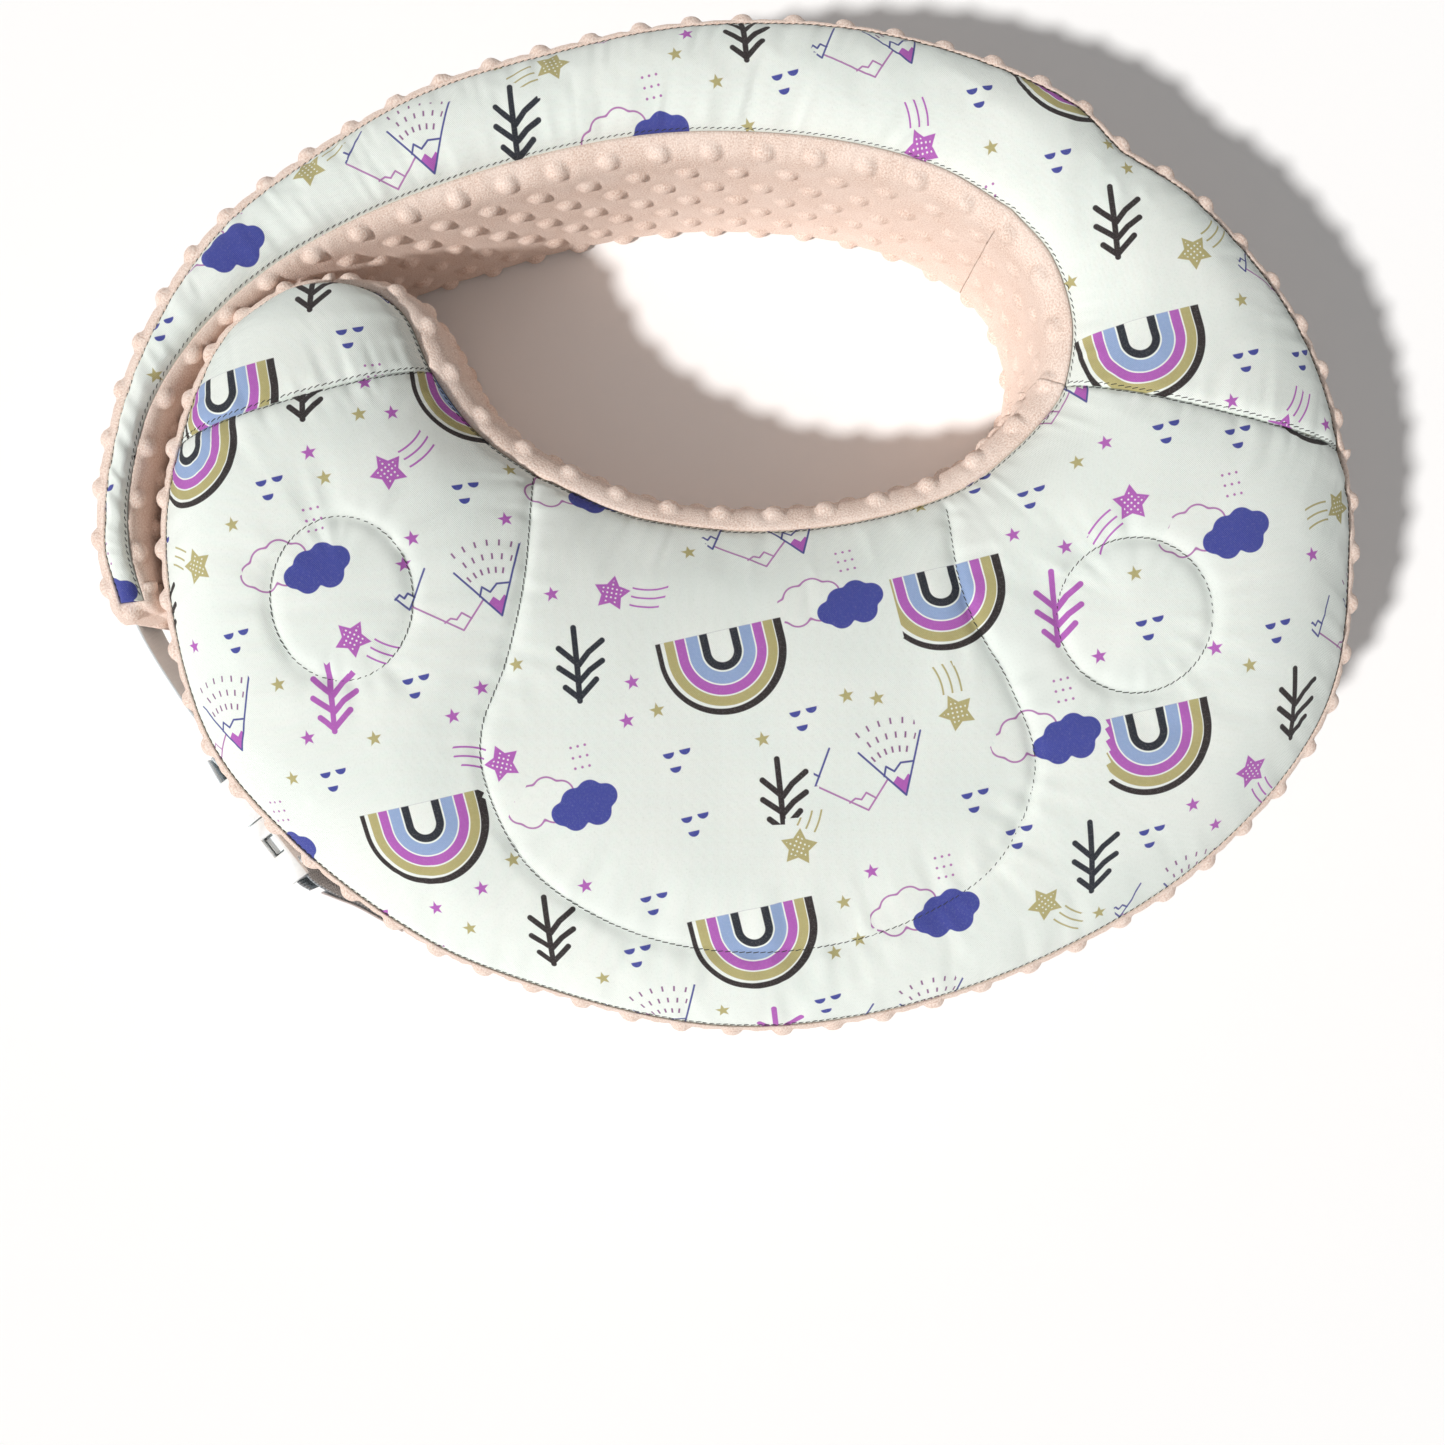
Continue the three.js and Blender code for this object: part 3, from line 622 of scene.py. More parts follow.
def cloth_material(name, colour, thread, roughness=0.85, variation=0.12):
    shader = Shader(name)
    place = shader.place()
    low = tuple(c * (1 - variation) for c in colour[:3]) + (1.0,)
    mixed = shader.mix(shader.noise(place, 0.4, 3.0), low, colour)
    normal = shader.bump(weave(shader, place, thread), 0.00015, 0.6)
    return shader.finish(mixed, normal, Roughness=roughness)


PRINT = printed_cotton()
PLUSH = plush()
BASE_CLOTH = cloth_material("base_cloth", rgb(128, 116, 114), 0.7)
FOAM = cloth_material("foam", rgb(240, 228, 190), 0.9, 1.0, 0.25)
THREAD = cloth_material("thread", rgb(52, 56, 52), 0.3, 0.7, 0.3)

# ---- Quilting

# The stitched lines over the main panel: two rings, and a lobe from the hole-side seam round the lap.
LOBE = [
    (-94, 24), (-94, 9), (-96, -27), (-104, -65), (-115, -96), (-114, -119), (-93, -161), (-42, -192),
    (17, -200), (77, -188), (123, -158), (140, -114), (129, -77), (113, -48), (106, -27), (102, 9),
]
RINGS = [((-178.7, -36.1), (32.8, 37.6)), ((185.1, -43.8), (35.2, 35.6))]
STITCH_STEP = 0.8


def ring(middle, radii):
    turn = np.linspace(0, 2 * math.pi, 25)[:-1]
    return [(middle[0] + radii[0] * math.cos(a), middle[1] + radii[1] * math.sin(a)) for a in turn]


quilt_lines = [even_line(np.array(LOBE) + CENTRE, STITCH_STEP)]
quilt_lines += [even_line(np.array(ring(*r)) + CENTRE, STITCH_STEP, closed=True) for r in RINGS]


def nearest(line, xy, limit):
    """Distance to a line, length along it and side of it for each point; far points get the limit."""
    tree = KDTree(len(line))
    for i, (x, y) in enumerate(line):
        tree.insert((x, y, 0), i)
    tree.balance()
    run, normal = lengths(line), normals_of(line)
    found = np.array([tree.find((x, y, 0))[1:] for x, y in xy])
    index = found[:, 0].astype(int)
    side = np.sign(((xy - line[index]) * normal[index]).sum(1))
    return np.minimum(found[:, 1], limit), run[index], side


def gathers(distance, along, reach, height, seed):
    """Small folds that run away from a seam and fade, each with its own length."""
    own_reach = reach * (0.75 + 0.55 * soft_noise(along, 0 * along, 9.0, seed))
    fade = np.exp(-distance / own_reach) * (1 - np.exp(-((distance / 1.6) ** 2)))
    fine = soft_noise(along, distance * 0.12, 2.9, seed + 3)
    broad = soft_noise(along, distance * 0.1, 6.5, seed + 8)
    return height * (fine + 0.6 * broad) * fade


def seam_relief(distance, along, side, depth, width, reach, height, seed):
    """A pinched groove with gathers on both sides."""
    groove = -depth * np.exp(-((distance / width) ** 1.3))
    return groove + gathers(distance, along + 500 * (side > 0), reach, height, seed)


HELD_WITHIN = 1.2
SPARE_REACH, SPARE_AT_SEAM, SPARE_ELSEWHERE = 9.0, -0.03, -0.003
AIR_PRESSURE, SETTLE_FRAMES, MOST_MOVE = 3.0, 12, 2.0
CLOTH_QUALITY, CLOTH_MASS = 5, 0.3
STRETCH_STIFFNESS, SHEAR_STIFFNESS, BENDING_STIFFNESS = 15, 5, 0.5


def crown_profile(share):
    """Height of the padding from 0 to 1 across a panel."""
    return (1 - np.abs(2 * share - 1) ** 2.6) ** 0.75


def settle(name, top, from_seam):
    """The padded sheet after a cloth simulation, with air behind it and its stitches held."""
    rows, count, _ = top.shape
    points = top.reshape(-1, 3)
    a, b = top[rows // 2, count // 2], top[rows // 2, count // 2 + 1]
    upward = np.cross(b - a, top[rows // 2 + 1, count // 2] - a)[2] > 0
    corners = ((0, 0), (0, 1), (1, 1), (1, 0))[:: 1 if upward else -1]
    starts = [i * count + j for i in range(rows - 1) for j in range(count - 1)]
    faces = [tuple(start + di * count + dj for di, dj in corners) for start in starts]
    sheet = make_object(name + "_sheet", points, faces, PRINT)
    share = np.round(np.exp(-from_seam.ravel() / SPARE_REACH), 1)
    held, spare = (sheet.vertex_groups.new(name=group) for group in ("held", "spare"))
    held.add(np.flatnonzero(from_seam.ravel() < HELD_WITHIN).tolist(), 1.0, "REPLACE")
    for level in np.unique(share):
        spare.add(np.flatnonzero(share == level).tolist(), float(level), "REPLACE")
    cloth = sheet.modifiers.new("settle", "CLOTH")
    made = cloth.settings
    made.vertex_group_mass, made.vertex_group_shrink = "held", "spare"
    made.shrink_min, made.shrink_max = SPARE_ELSEWHERE, SPARE_AT_SEAM
    made.use_pressure, made.uniform_pressure_force = True, AIR_PRESSURE
    made.effector_weights.gravity = 0
    made.quality, made.mass = CLOTH_QUALITY, CLOTH_MASS
    made.tension_stiffness = made.compression_stiffness = STRETCH_STIFFNESS
    made.shear_stiffness, made.bending_stiffness = SHEAR_STIFFNESS, BENDING_STIFFNESS
    cloth.collision_settings.use_collision = False
    cloth.point_cache.frame_start, cloth.point_cache.frame_end = 1, SETTLE_FRAMES
    for number in range(1, SETTLE_FRAMES + 1):
        bpy.context.scene.frame_set(number)
    evaluated = sheet.evaluated_get(bpy.context.evaluated_depsgraph_get())
    settled = np.zeros(points.size, np.float32)
    evaluated.data.vertices.foreach_get("co", settled)
    bpy.data.meshes.remove(sheet.data)
    bpy.context.scene.frame_set(1)
    move = settled.reshape(-1, 3) / MM - points
    size = np.linalg.norm(move, axis=1)[:, None]
    move *= MOST_MOVE * np.tanh(size / MOST_MOVE) / np.maximum(size, 1e-6)
    return (points + move).reshape(top.shape)


def with_feet(xy, z):
    """Sections through points across a panel, with a hem point under each edge."""
    top = np.concatenate([xy, z[..., None]], axis=2)
    foot = top[:, [0, -1]].copy()
    foot[..., 2] -= 5.0
    return np.concatenate([foot[:, :1], top, foot[:, 1:]], axis=1)


def panel_sections(name, rows, ends, lines, count, seed):
    """Sections of a padded top panel and its flat cloth coordinates.

    ends says which ends are sewn with a double seam; lines are the quilted lines on it.
    """
    even = np.linspace(0, 1, count)
    share = 0.55 * even + 0.45 * (0.5 - 0.5 * np.cos(math.pi * even))
    span = rows.outer - rows.hole
    width = np.linalg.norm(span, axis=1)[:, None]
    xy = rows.hole[:, None] + span[:, None] * share[None, :, None]
    z = SEAM_HEIGHT + rows.crown[:, None] * crown_profile(share)[None]
    sections = with_feet(xy, z)
    reach = np.cumsum(np.linalg.norm(np.diff(sections, axis=1), axis=2), axis=1)
    reach = np.concatenate([np.zeros((len(reach), 1)), reach], axis=1)
    middle = count // 2 + 1
    flat = sections[:, [middle], :2] + (span / width)[:, None] * (reach - reach[:, [middle]])[..., None]

    run = lengths((rows.hole + rows.outer) / 2)[:, None] + 0 * z
    near_hole, near_outer = width * share, width * (1 - share)
    z += soft_noise(xy[..., 0], xy[..., 1], 46.0, seed) * 0.9 * crown_profile(share)[None]
    for side, distance in enumerate((near_hole, near_outer)):
        edge_run = lengths(rows.edge(side))[:, None] + 0 * z
        z += seam_relief(distance, edge_run, 1 + 0 * z, 2.2, 2.2, 14.0, 1.15, seed + 20 + side)
    from_seam = np.minimum.reduce([near_hole, near_outer, run, run[-1:] - run])
    for which, distance in zip(ends, (run, run[-1:] - run)):
        if which:
            z += seam_relief(distance, near_hole, 1 + 0 * z, 2.6, 2.8, 18.0, 1.5, seed + 30)
    for number, line in enumerate(lines):
        distance, along, side = nearest(line, xy.reshape(-1, 2), 90.0)
        relief = seam_relief(distance, along, side, 2.8, 3.0, 17.0, 1.35, seed + 40 + number)
        z += relief.reshape(z.shape)
        from_seam = np.minimum(from_seam, distance.reshape(z.shape))
    settled = settle(name, np.concatenate([xy, z[..., None]], axis=2), from_seam)
    return with_feet(settled[..., :2], settled[..., 2]), flat


# ---- Plush side strips

DOT_ROWS = [4.5 + 17.6 * k for k in range(7)]
DOT_SPACING = 24.7
DOT_RADIUS = 4.9
DOT_HEIGHT = 2.6
STRIP_STEP = 1.5
FIRST_UPRIGHT = 5


def side_profile(swell):
    """Profile points (outward, z) of a side strip for each swell, from foot to seam."""
    height = SEAM_HEIGHT - 1
    foot = np.radians(np.linspace(90, 0, 5))
    top = np.radians(np.linspace(0, 90, 11))
    upright = np.arange(5.5, height - 12.5, STRIP_STEP)
    reach = (swell - 0.35)[:, None]
    bulge = 0.8 * np.sin(math.pi * upright / height)
    out = np.concatenate(
        [0.35 + reach * np.cos(foot), 0.35 + reach + bulge, 0.35 + reach * np.cos(top)], axis=1
    )
    z = np.concatenate([4.3 - 4 * np.sin(foot), upright, height - 12 + 12 * np.sin(top)])
    tuck_out = np.full((len(swell), 1), -0.2)
    out = np.concatenate([out, tuck_out, tuck_out], axis=1)
    return out, np.concatenate([z, [height - 4, 5.0]])


def dot_height(along, up):
    """Raised dots in staggered rows, over cloth coordinates."""
    total = np.zeros(np.broadcast(along, up).shape)
    for k, row in enumerate(DOT_ROWS):
        shifted = along - (k % 2) * DOT_SPACING / 2
        offset = shifted - DOT_SPACING * np.round(shifted / DOT_SPACING)
        radius = np.sqrt(offset**2 + (up - row) ** 2)
        dome = np.clip(1 - (radius / DOT_RADIUS) ** 2, 0, 1) ** 0.62
        rim = np.exp(-(((radius - DOT_RADIUS - 1.2) / 1.5) ** 2))
        total += DOT_HEIGHT * dome - 0.35 * rim
    return total


def under_straps(wall, z):
    """1 where a strap presses the plush flat, fading to 0 round it."""
    straps = np.vstack([even_line(np.array(route) + CENTRE, 2.0) for route in (ON_WALL, ELASTIC_ROUTE[:4])])
    away = np.linalg.norm(wall[:, None] - straps[None], axis=2).min(1)[:, None]
    return np.clip((15 - away) / 4, 0, 1) * np.clip((22 - np.abs(z - STRAP_Z)) / 3, 0, 1)


def strip_sections(line, outward, swell, seed):
    """Sections of a plush strip along a seam line, and its flat cloth coordinates."""
    out, z = side_profile(swell)
    body = len(z) - 2
    run = lengths(line + outward * swell[:, None])[:, None]
    up = np.concatenate([[0], np.cumsum(np.hypot(np.diff(out[0]), np.diff(z)))])[None]
    slope_out, slope_z = np.gradient(out, axis=1), np.gradient(z)[None] + 0 * out
    size = np.hypot(slope_out, slope_z)
    arc = np.cumsum(np.hypot(np.diff(out, axis=1, prepend=0), np.diff(z, prepend=0)[None]), axis=1)
    lift = dot_height(run, arc - arc[:, [FIRST_UPRIGHT]] + z[FIRST_UPRIGHT])
    lift *= 1 - under_straps(line + outward * swell[:, None], z[None])
    lift += 0.7 * soft_noise(run + 0 * out, z[None] + 0 * out, 38.0, seed)
    lift += gathers(np.maximum(SEAM_HEIGHT - z[None], 0) + 0 * out, run + 0 * out, 9.0, 0.5, seed + 5)
    lift *= np.clip((z[None] - 0.3) / 3, 0, 1) * np.clip(out / 3.0, 0, 1)
    lift[:, body:] = 0
    out, z = out + lift * slope_z / size, z[None] - lift * slope_out / size
    xy = line[:, None] + outward[:, None] * out[..., None]
    sections = np.concatenate([xy, z[..., None]], axis=2)
    flat = np.stack(np.broadcast_arrays(run, up), axis=2)
    return sections, flat


def even_edge(line, swell, facing):
    """A seam line resampled evenly, with outward normals on the facing side and its swell."""
    run = lengths(line)
    at = np.linspace(0, run[-1], int(run[-1] / STRIP_STEP) + 2)
    spread = np.c_[[np.interp(at, run, line[:, k]) for k in (0, 1)]].T
    return spread, normals_of(spread) * facing, np.interp(at, run, swell)


CORNER_STEPS = 8


def rounded_end(path, other):
    """Joins two seam edges round a ribbon's free end, with the outward direction turning at each corner."""
    (line_a, out_a, swell_a), (line_b, out_b, swell_b) = path, other
    a, b = line_a[-1], line_b[0]
    ahead = np.array([-(b - a)[1], (b - a)[0]])
    ahead *= np.sign(ahead @ (line_a[-1] - line_a[-4])) / np.linalg.norm(ahead)
    turn = np.linspace(0, 1, CORNER_STEPS + 1)[1:, None]
    lean_a = out_a[-1] * (1 - turn) + ahead * turn
    lean_b = (out_b[0] * (1 - turn) + ahead * turn)[::-1]
    unit = lambda v: v / np.linalg.norm(v, axis=1)[:, None]
    across = np.linspace(0, 1, CORNER_STEPS + 1)[1:-1, None]
    stay = lambda value: np.repeat(np.array([value]), CORNER_STEPS, 0)
    line = np.vstack([line_a, stay(a), a + (b - a) * across, stay(b), line_b])
    out = np.vstack([out_a, unit(lean_a), stay(ahead)[1:], unit(lean_b), out_b])
    between = np.linspace(swell_a[-1], swell_b[0], CORNER_STEPS + 1)[1:-1]
    swell = np.concatenate([swell_a, stay(swell_a[-1]), between, stay(swell_b[0]), swell_b])
    return line, out, swell


def facing_of(rows, side):
    """Which side of the seam line, left or right, is outward."""
    edge, other = rows.edge(side), rows.edge(1 - side)
    middle = len(edge) // 2
    return float(np.sign(((edge - other)[middle] * normals_of(edge)[middle]).sum()))


def edge_path(rows, side):
    return even_edge(rows.edge(side), rows.swell[:, side], facing_of(rows, side))


def reverse(path):
    return tuple(part[::-1] for part in path)


def stretch(path, first, last):
    """The part of a path between two of its points."""
    return tuple(part[first:last] for part in path)


# ---- Build the cover

MAIN_STEP, TIP_STEP, BACK_STEP, SIDE_STEP = 2.2, 1.6, 1.8, 2.0
TIP_MIDDLE, BEFORE_END = 11, 6
main_rows = even_rows(CUSHION, RIGHT_SEAM, LEFT_SEAM, MAIN_STEP)
tip_rows = even_rows(CUSHION, LEFT_SEAM, CUSHION_END, TIP_STEP)
shoulder_rows = even_rows(CUSHION, RIGHT_SEAM, 0, BACK_STEP)
band_rows = even_rows(BAND, 0, BAND_END, BACK_STEP)
back_rows = shoulder_rows + band_rows


def dress(piece, body, slot, *nodes, fill=None):
    """Rides the piece with its body, or bakes its place into its points for the fold, and hides the CAD
    nodes it stands for.
    """
    if body == "fold":
        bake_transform(piece)
    else:
        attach(piece, body)
    if nodes:
        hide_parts(*nodes)
    return piece


def make_top():
    """The printed panels: rows, which ends are double seams, quilted lines, points across, body, nodes."""
    main_nodes = ["cover_top_main", "wadding_main"]
    back_nodes = ["cover_top_shoulder", "band_cover_top"]
    panels = [
        ("top_main", main_rows, (True, True), quilt_lines, 110, "cushion", main_nodes),
        ("top_tip", tip_rows, (True, False), [], 90, "cushion", ["cover_top_tip"]),
        ("top_back", back_rows, (True, False), [], 64, "fold", back_nodes),
    ]
    made = {}
    for seed, (name, rows, ends, lines, count, body, nodes) in enumerate(panels):
        sections, flat = panel_sections(name, rows, ends, lines, count, seed)
        piece = loft(name, sections, PRINT, flat)
        stamp(piece.data, seed + 1)
        made[name] = dress(piece, body, "printed_cotton", *nodes, fill=0.9)
    return made


def make_sides():
    """The plush strips; two meet at the middle of the free arm's tip, and two just before the band's end."""
    to_tip = even_rows(CUSHION, RIGHT_SEAM, CUSHION_END, SIDE_STEP)
    left_part = even_rows(CUSHION, SIDE_SEAM, CUSHION_END, SIDE_STEP)
    right_part = even_rows(CUSHION, RIGHT_SEAM, SIDE_SEAM, SIDE_STEP)
    hole, outer = edge_path(to_tip, 0), reverse(edge_path(left_part, 1))
    round_tip = rounded_end(hole, outer)
    split = len(hole[0]) + TIP_MIDDLE
    back_hole, back_outer = edge_path(back_rows, 0), reverse(edge_path(back_rows, 1))
    round_band = rounded_end(back_hole, back_outer)
    end = len(back_hole[0]) - BEFORE_END
    strips = [
        ("side_inner", stretch(round_tip, 0, split + 1), "cushion", "cover_side_inner"),
        ("side_outer_left", stretch(round_tip, split, None), "cushion", "cover_side_outer_left"),
        ("side_outer_right", edge_path(right_part, 1), "cushion", "cover_side_outer_right"),
        ("side_band_inner", stretch(round_band, 0, end + 1), "fold", "band_side_inner"),
        ("side_band_outer", stretch(round_band, end, None), "fold", "band_side_outer"),
    ]
    for seed, (name, path, body, node) in enumerate(strips):
        sections, flat = strip_sections(*path, seed + 60)
        dress(loft(name, sections, PLUSH, flat), body, "dimpled_plush", node, fill=0.95)


def slab(name, rows, inset, bottom, top, material):
    """A flat-bottomed body between the two seams of a ribbon."""
    span = rows.outer - rows.hole
    unit = span / np.linalg.norm(span, axis=1)[:, None]
    a, b = rows.hole + unit * inset, rows.outer - unit * inset
    corner = lambda xy, z: np.c_[xy, np.full(len(xy), float(z))]
    loop = [corner(a, bottom), corner(b, bottom), corner(b, top), corner(a, top)]
    return loft(name, np.stack(loop, axis=1), material)


FOAM_BOTTOM, FOAM_TOP, BASE_THICK = 14.0, 108.0, 2.5


def make_inside():
    """The foam blocks and the base panels under them."""
    front = even_rows(CUSHION, RIGHT_SEAM, CUSHION_END, 6.0)
    for name, rows, body, nodes in (
        ("front", front, "cushion", ("foam_core", "cover_base")),
        ("back", back_rows, "fold", ("band_foam", "band_base")),
    ):
        foam = slab(f"foam_{name}", rows, 0.8, FOAM_BOTTOM, FOAM_TOP, FOAM)
        dress(foam, body, "foam", nodes[0], fill=1.0)
        base = slab(f"base_{name}", rows, 0.3, 0.0, BASE_THICK, BASE_CLOTH)
        dress(base, body, "base_cloth", nodes[1])


# ---- Stitching


def surface_of(piece):
    points = [tuple(vertex.co / MM) for vertex in piece.data.vertices]
    return BVHTree.FromPolygons(points, [tuple(face.vertices) for face in piece.data.polygons])


def laid_on(tree, line):
    """A level line dropped on to a surface; points that miss it are left out."""
    found = []
    for x, y in line:
        hit = tree.ray_cast(Vector((x, y, 300)), Vector((0, 0, -1)))[0]
        if hit is not None:
            found.append((x, y, hit.z))
    return np.array(found)


STITCH_LENGTH, STITCH_PITCH, THREAD_RADIUS = 2.8, 3.3, 0.22


def stitch_mesh(name, lines, slant):
    """Short arcs of thread along lines that lie on the cloth, as one mesh."""
    points, faces = [], []
    turn = np.radians(np.arange(0, 360, 60))
    for line in lines:
        run = lengths(line)
        for start in np.arange(0.4, run[-1] - STITCH_LENGTH, STITCH_PITCH):
            at = start + np.linspace(0, STITCH_LENGTH, 5)
            thread = np.c_[[np.interp(at, run, line[:, k]) for k in range(3)]].T
            ahead = thread[-1] - thread[0]
            side = np.array([-ahead[1], ahead[0], 0]) / np.linalg.norm(ahead[:2])
            arch = np.sin(np.linspace(0, math.pi, 5))
            thread += side * np.linspace(-slant, slant, 5)[:, None]
            thread[:, 2] += 0.4 * arch - 0.15
            first = len(points)
            for centre in thread:
                round_it = side * np.cos(turn)[:, None] + np.array([0, 0, 1]) * np.sin(turn)[:, None]
                points.extend(centre + THREAD_RADIUS * round_it)
            faces += [tuple(first + v for v in face) for face in loft_faces(5, 6)]
    return make_object(name, points, faces, THREAD)


def inset(line, other, distance):
    """A seam line moved towards the ribbon's other seam."""
    toward = other - line
    return line + toward / np.linalg.norm(toward, axis=1)[:, None] * distance


def joint_line(rows, index, shift):
    """The line across a ribbon at a row, moved along the ribbon."""
    a, b = rows.hole[index], rows.outer[index]
    step = 1 if index == 0 else -1
    middle = (rows.hole + rows.outer) / 2
    along = middle[index + step] - middle[index]
    along /= np.linalg.norm(along)
    share = np.linspace(0.01, 0.99, 160)[:, None]
    return a + (b - a) * share + along * shift


MAIN_JOINT, NEXT_JOINT, FROM_EDGE = 1.0, 1.6, 0.9


def edge_lines(tree, rows):
    """Stitch lines along both edges of a panel."""
    return [laid_on(tree, inset(rows.edge(s), rows.edge(1 - s), FROM_EDGE)) for s in (0, 1)]


def make_stitching():
    """Threads of the quilting, the double seams and the panels' edges."""
    main, tip, back = (surface_of(tops[name]) for name in ("top_main", "top_tip", "top_back"))
    joints = [laid_on(main, joint_line(main_rows, index, MAIN_JOINT)) for index in (0, -1)]
    tip_joint = [laid_on(tip, joint_line(tip_rows, 0, NEXT_JOINT))]
    back_joint = [laid_on(back, joint_line(back_rows, 0, NEXT_JOINT))]
    for name, lines, slant, body in (
        ("quilt_thread", [laid_on(main, line) for line in quilt_lines], 0.25, "cushion"),
        ("panel_thread", joints + edge_lines(main, main_rows), 0.25, "cushion"),
        ("tip_thread", tip_joint + edge_lines(tip, tip_rows), 0.45, "cushion"),
        ("back_thread", edge_lines(back, back_rows) + back_joint, 0.45, "fold"),
    ):
        dress(stitch_mesh(name, lines, slant), body, "printed_cotton")


# ---- Straps and buckle

BUCKLE_AT = np.array([-235.0, -147.0]) + CENTRE
BUCKLE_TURN = math.atan2(-0.787, 0.617)
STRAP_WIDTH, STRAP_THICK = 32.0, 1.4


def at_buckle(along, out):
    """A place by the buckle: along the strap toward the socket, and out from the cushion."""
    c, s = math.cos(BUCKLE_TURN), math.sin(BUCKLE_TURN)
    return BUCKLE_AT + (c * along + s * out, s * along - c * out)


def ribbon(name, route, width, thick, material, ribs, rib_height, offset=0.0):
    """A flat strap on edge, its face ribbed along its length; cloth holds length and height."""
    line = even_line(np.array(route), 0.7)
    side = normals_of(line)
    line = line + side * offset
    run = lengths(line)
    count = ribs * 6
    up = np.linspace(-width / 2, width / 2, count + 1)
    rib = rib_height * (np.abs(np.sin(math.pi * ribs * (up / width + 0.5))) ** 0.6 - 1)
    round_off = np.clip((width / 2 - np.abs(up)) / 0.5, 0, 1) ** 0.5
    half = (thick / 2 + rib) * (0.35 + 0.65 * round_off)
    loop_up = np.concatenate([up, up[::-1]])
    loop_out = np.concatenate([half, -half[::-1]])
    xy = line[:, None] + side[:, None] * loop_out[None, :, None]
    z = np.broadcast_to(STRAP_Z + loop_up, xy.shape[:2])
    sections = np.concatenate([xy, z[..., None]], axis=2)
    flat = np.stack(np.broadcast_arrays(run[:, None], loop_up[None] + 60 * (loop_out[None] < 0)), axis=2)
    return loft(name, sections, material, flat)


def webbing_material(name, light, dark, pitch, depth):
    """Coarse strap weave: slanted yarns that cross in rows, from the strap's own coordinates."""
    shader = Shader(name)
    flat = shader.attribute("cloth")
    along, up = shader.parts(flat)
    row = shader.math("PINGPONG", up, pitch)
    yarn = shader.wave(shader.math("MULTIPLY_ADD", row, 0.9, along), pitch)
    edge = shader.wave(up, 2 * pitch)
    height = shader.math("ADD", yarn, shader.math("MULTIPLY", shader.math("ABSOLUTE", edge), 1.2))
    fibre = shader.noise(flat, 4.0, 3.0)
    height = shader.math("MULTIPLY_ADD", fibre, 0.7, height)
    colour = shader.mix(shader.ramp(height, -0.4, 1.6), dark, light)
    return shader.finish(colour, shader.bump(height, depth, 0.8), Roughness=0.7, Sheen_Weight=0.1)


def elastic_material():
    """Knitted elastic: fine ribs along, close bars across, a slight sheen."""
    shader = Shader("elastic")
    flat = shader.attribute("cloth")
    along, up = shader.parts(flat)
    height = shader.math("ADD", shader.wave(along, 0.8), shader.math("MULTIPLY", shader.wave(up, 1.1), 0.6))
    height = shader.math("MULTIPLY_ADD", shader.noise(flat, 2.5, 3.0), 1.2, height)
    colour = shader.mix(shader.ramp(height, -1.0, 2.0), rgb(196, 208, 214), rgb(228, 236, 240))
    return shader.finish(colour, shader.bump(height, 0.00012, 0.7), Roughness=0.6, Sheen_Weight=0.2)


def label_material():
    """Blank woven satin."""
    shader = Shader("label")
    flat = shader.attribute("cloth")
    along, up = shader.parts(flat)
    height = shader.math("MULTIPLY_ADD", shader.wave(along, 1.4), 0.4, shader.wave(up, 0.35))
    shade = shader.ramp(shader.noise(flat, 0.5, 2.0), 0.3, 0.7)
    colour = shader.mix(shade, rgb(236, 236, 240), rgb(248, 248, 250))
    return shader.finish(colour, shader.bump(height, 0.00004, 0.6), Roughness=0.45, Sheen_Weight=0.15)


def plastic_material():
    """White acetal with the fine grain of its mould and faint scuffs."""
    shader = Shader("buckle_plastic")
    place = shader.place()
    grain = shader.noise(place, 3.0, 3.0)
    scuff = shader.noise(place, 0.25, 4.0, 0.65)
    colour = shader.mix(shader.ramp(scuff, 0.3, 0.7), rgb(234, 240, 242), rgb(246, 250, 250))
    rough = shader.ramp(scuff, 0.3, 0.75, 0.28, 0.42)
    shader.feed(shader.surface.inputs["Roughness"], rough)
    return shader.finish(colour, shader.bump(grain, 0.00003, 0.5), Specular_IOR_Level=0.5)


def metal_material():
    """Dull plated zip metal."""
    shader = Shader("zip_metal")
    place = shader.place()
    scuff = shader.noise(place, 0.8, 4.0, 0.7)
    colour = shader.mix(scuff, rgb(176, 178, 180), rgb(204, 206, 208))
    shader.feed(shader.surface.inputs["Roughness"], shader.ramp(scuff, 0.3, 0.7, 0.28, 0.5))
    return shader.finish(colour, shader.bump(scuff, 0.00003, 0.4), Metallic=1.0)


WEBBING = webbing_material("webbing", rgb(206, 213, 218), rgb(120, 130, 138), 1.9, 0.0005)
ELASTIC = elastic_material()
LABEL = label_material()
PLASTIC = plastic_material()
METAL = metal_material()
TAPE = cloth_material("zip_tape", rgb(112, 104, 104), 0.6)
COIL = cloth_material("zip_coil", rgb(96, 90, 92), 0.25, 0.5, 0.2)


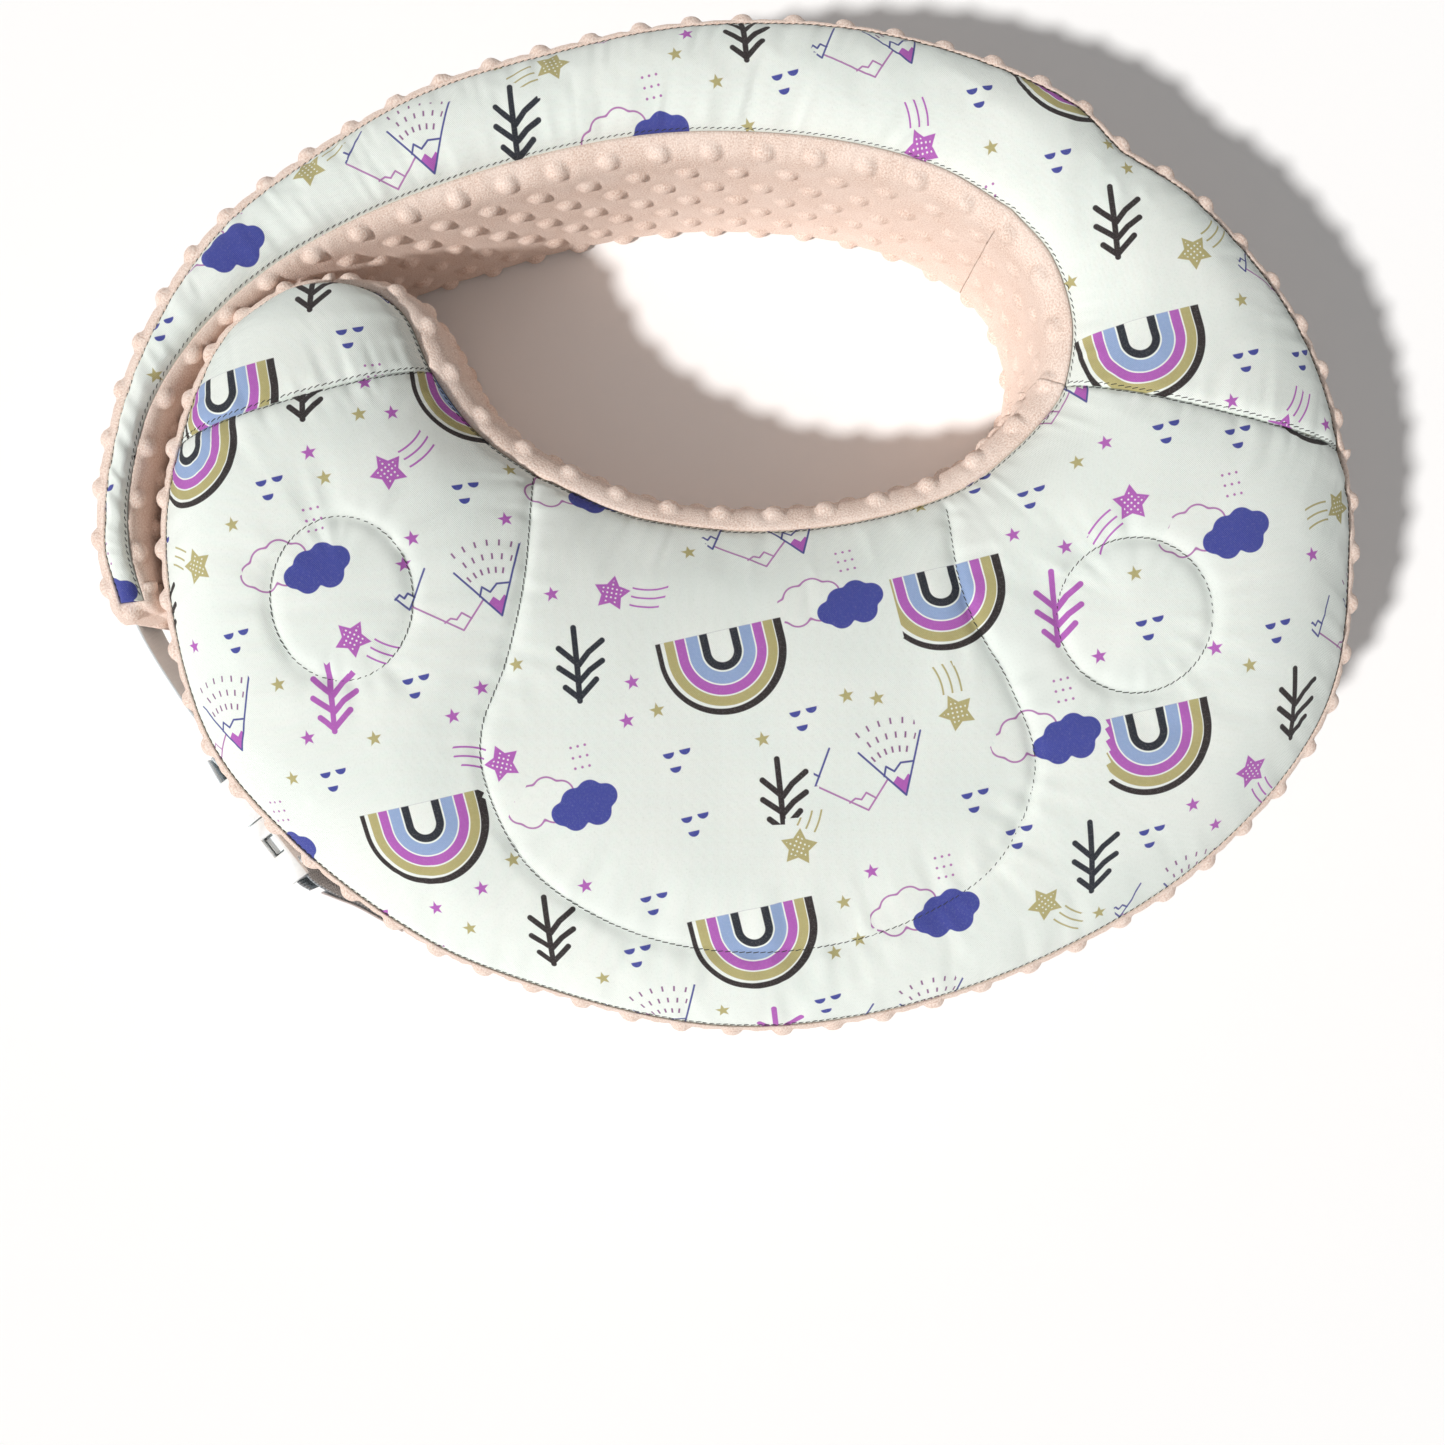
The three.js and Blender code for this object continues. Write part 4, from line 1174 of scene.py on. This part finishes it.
def bevelled(node, material, width):
    """A CAD node with its moulded edges rounded."""
    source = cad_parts[node]
    mesh = source.data.copy()
    piece = put(node + "_moulded", mesh)
    piece.matrix_world = source.matrix_world
    mesh.materials.clear()
    mesh.materials.append(material)
    weld = piece.modifiers.new("weld", "WELD")
    weld.merge_threshold = 0.01 * MM
    flatten = piece.modifiers.new("flatten", "DECIMATE")
    flatten.decimate_type, flatten.angle_limit = "DISSOLVE", math.radians(3)
    bevel = piece.modifiers.new("bevel", "BEVEL")
    bevel.width, bevel.segments, bevel.limit_method = width * MM, 3, "ANGLE"
    bevel.angle_limit = math.radians(35)
    evaluated = piece.evaluated_get(bpy.context.evaluated_depsgraph_get())
    piece.data = bpy.data.meshes.new_from_object(evaluated)
    piece.modifiers.clear()
    piece.data.polygons.foreach_set("use_smooth", [True] * len(piece.data.polygons))
    piece.data.set_sharp_from_angle(angle=math.radians(40))
    return piece


SOCKET_LOOP = [(34, -2.9), (25.2, -3.1), (24.1, 0), (25.2, 3.1), (32, 2.9), (38, 0.6)]
PLUG_LOOP = [(-45, -1.2), (-32, -2.9), (-25.2, -3.1), (-24.1, 0), (-25.2, 3.1), (-32, 2.9), (-45, 1)]
ELASTIC_END = (-36, -6.7)


def make_straps():
    """The webbing and label on the wall, the elastic's loop on the plug, and the elastic itself."""
    on_wall = [np.array(point) + CENTRE for point in ON_WALL]
    webbed = ribbon(
        "webbing_strap", [*on_wall, *(at_buckle(*p) for p in SOCKET_LOOP)], STRAP_WIDTH, STRAP_THICK,
        WEBBING, 9, 0.22,
    )
    dress(webbed, "cushion", "webbing", "webbing")
    tag = ribbon("sewn_label", [*on_wall, at_buckle(42, -4.4)], 36.0, 0.8, LABEL, 1, 0.0, offset=1.5)
    dress(tag, "cushion", "label", "label")
    loop = ribbon(
        "elastic_turn", [at_buckle(*p) for p in PLUG_LOOP], STRAP_WIDTH, STRAP_THICK, ELASTIC, 14, 0.14
    )
    dress(loop, "plug", "elastic", "elastic_loop")
    route = [*(np.array(point) + CENTRE for point in ELASTIC_ROUTE), at_buckle(*ELASTIC_END)]
    strap = ribbon("elastic_strip", route, STRAP_WIDTH, STRAP_THICK, ELASTIC, 14, 0.14)
    start, end = ((*point * MM, STRAP_Z * MM) for point in (route[3], route[-1]))
    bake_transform(strap)
    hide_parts("elastic_strap")


def make_buckle():
    for node, body, width in (
        ("buckle_female", "cushion", 0.7), ("buckle_male", "plug", 0.6),
        ("prong_upper", "upper_prong", 0.5), ("prong_lower", "lower_prong", 0.5),
    ):
        dress(bevelled(node, PLASTIC, width), body, "buckle_plastic", node)


def make_zip():
    for node, material in (
        ("zip_tape_front", TAPE), ("zip_tape_rear", TAPE), ("zip_coil_front", COIL), ("zip_coil_rear", COIL),
        ("zip_stop_left", METAL), ("zip_stop_right", METAL), ("zip_slider", METAL), ("zip_pull", METAL),
    ):
        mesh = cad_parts[node].data
        mesh.materials.clear()
        mesh.materials.append(material)


tops = make_top()
make_sides()
make_inside()
make_stitching()
make_straps()
make_buckle()
make_zip()

# ---- Floor, light and camera

EYE = (-0.85 * MM, -94.4 * MM, 821 * MM)
LENS = 36.95
SKY_LIGHT, BACKDROP, SUN_STRENGTH = 0.3, 0.95, 3.1
SUN_TOWARD = (0.085, 0.064, -0.12)


def make_stage():
    mesh = bpy.data.meshes.new("floor")
    reach = 4.0
    corners = [(x * reach, y * reach, 0) for x, y in ((-1, -1), (1, -1), (1, 1), (-1, 1))]
    mesh.from_pydata(corners, [], [(0, 1, 2, 3)])
    shader = Shader("floor")
    mesh.materials.append(shader.finish(rgb(250, 250, 250), Roughness=0.9))
    put("floor", mesh)

    sun = bpy.data.lights.new("key", "SUN")
    sun.energy, sun.angle = SUN_STRENGTH, math.radians(4)
    sun.color = (1.0, 0.985, 0.97)
    key = put("key", sun)
    key.rotation_mode = "QUATERNION"
    key.rotation_quaternion = Vector(SUN_TOWARD).to_track_quat("-Z", "Y")

    world = bpy.data.worlds.new("studio")
    world.use_nodes = True
    nodes, links = world.node_tree.nodes, world.node_tree.links
    nodes["Background"].inputs["Color"].default_value = (1, 1, 1, 1)
    strength = nodes.new("ShaderNodeMapRange")
    strength.inputs["To Min"].default_value, strength.inputs["To Max"].default_value = SKY_LIGHT, BACKDROP
    links.new(nodes.new("ShaderNodeLightPath").outputs["Is Camera Ray"], strength.inputs["Value"])
    links.new(strength.outputs[0], nodes["Background"].inputs["Strength"])
    bpy.context.scene.world = world

    camera = put("camera", bpy.data.cameras.new("camera"))
    camera.data.lens, camera.data.sensor_width = LENS, 36.0
    camera.data.clip_start = 0.01
    camera.location = EYE
    bpy.context.scene.camera = camera


make_stage()
bpy.context.scene.view_settings.view_transform = "Standard"
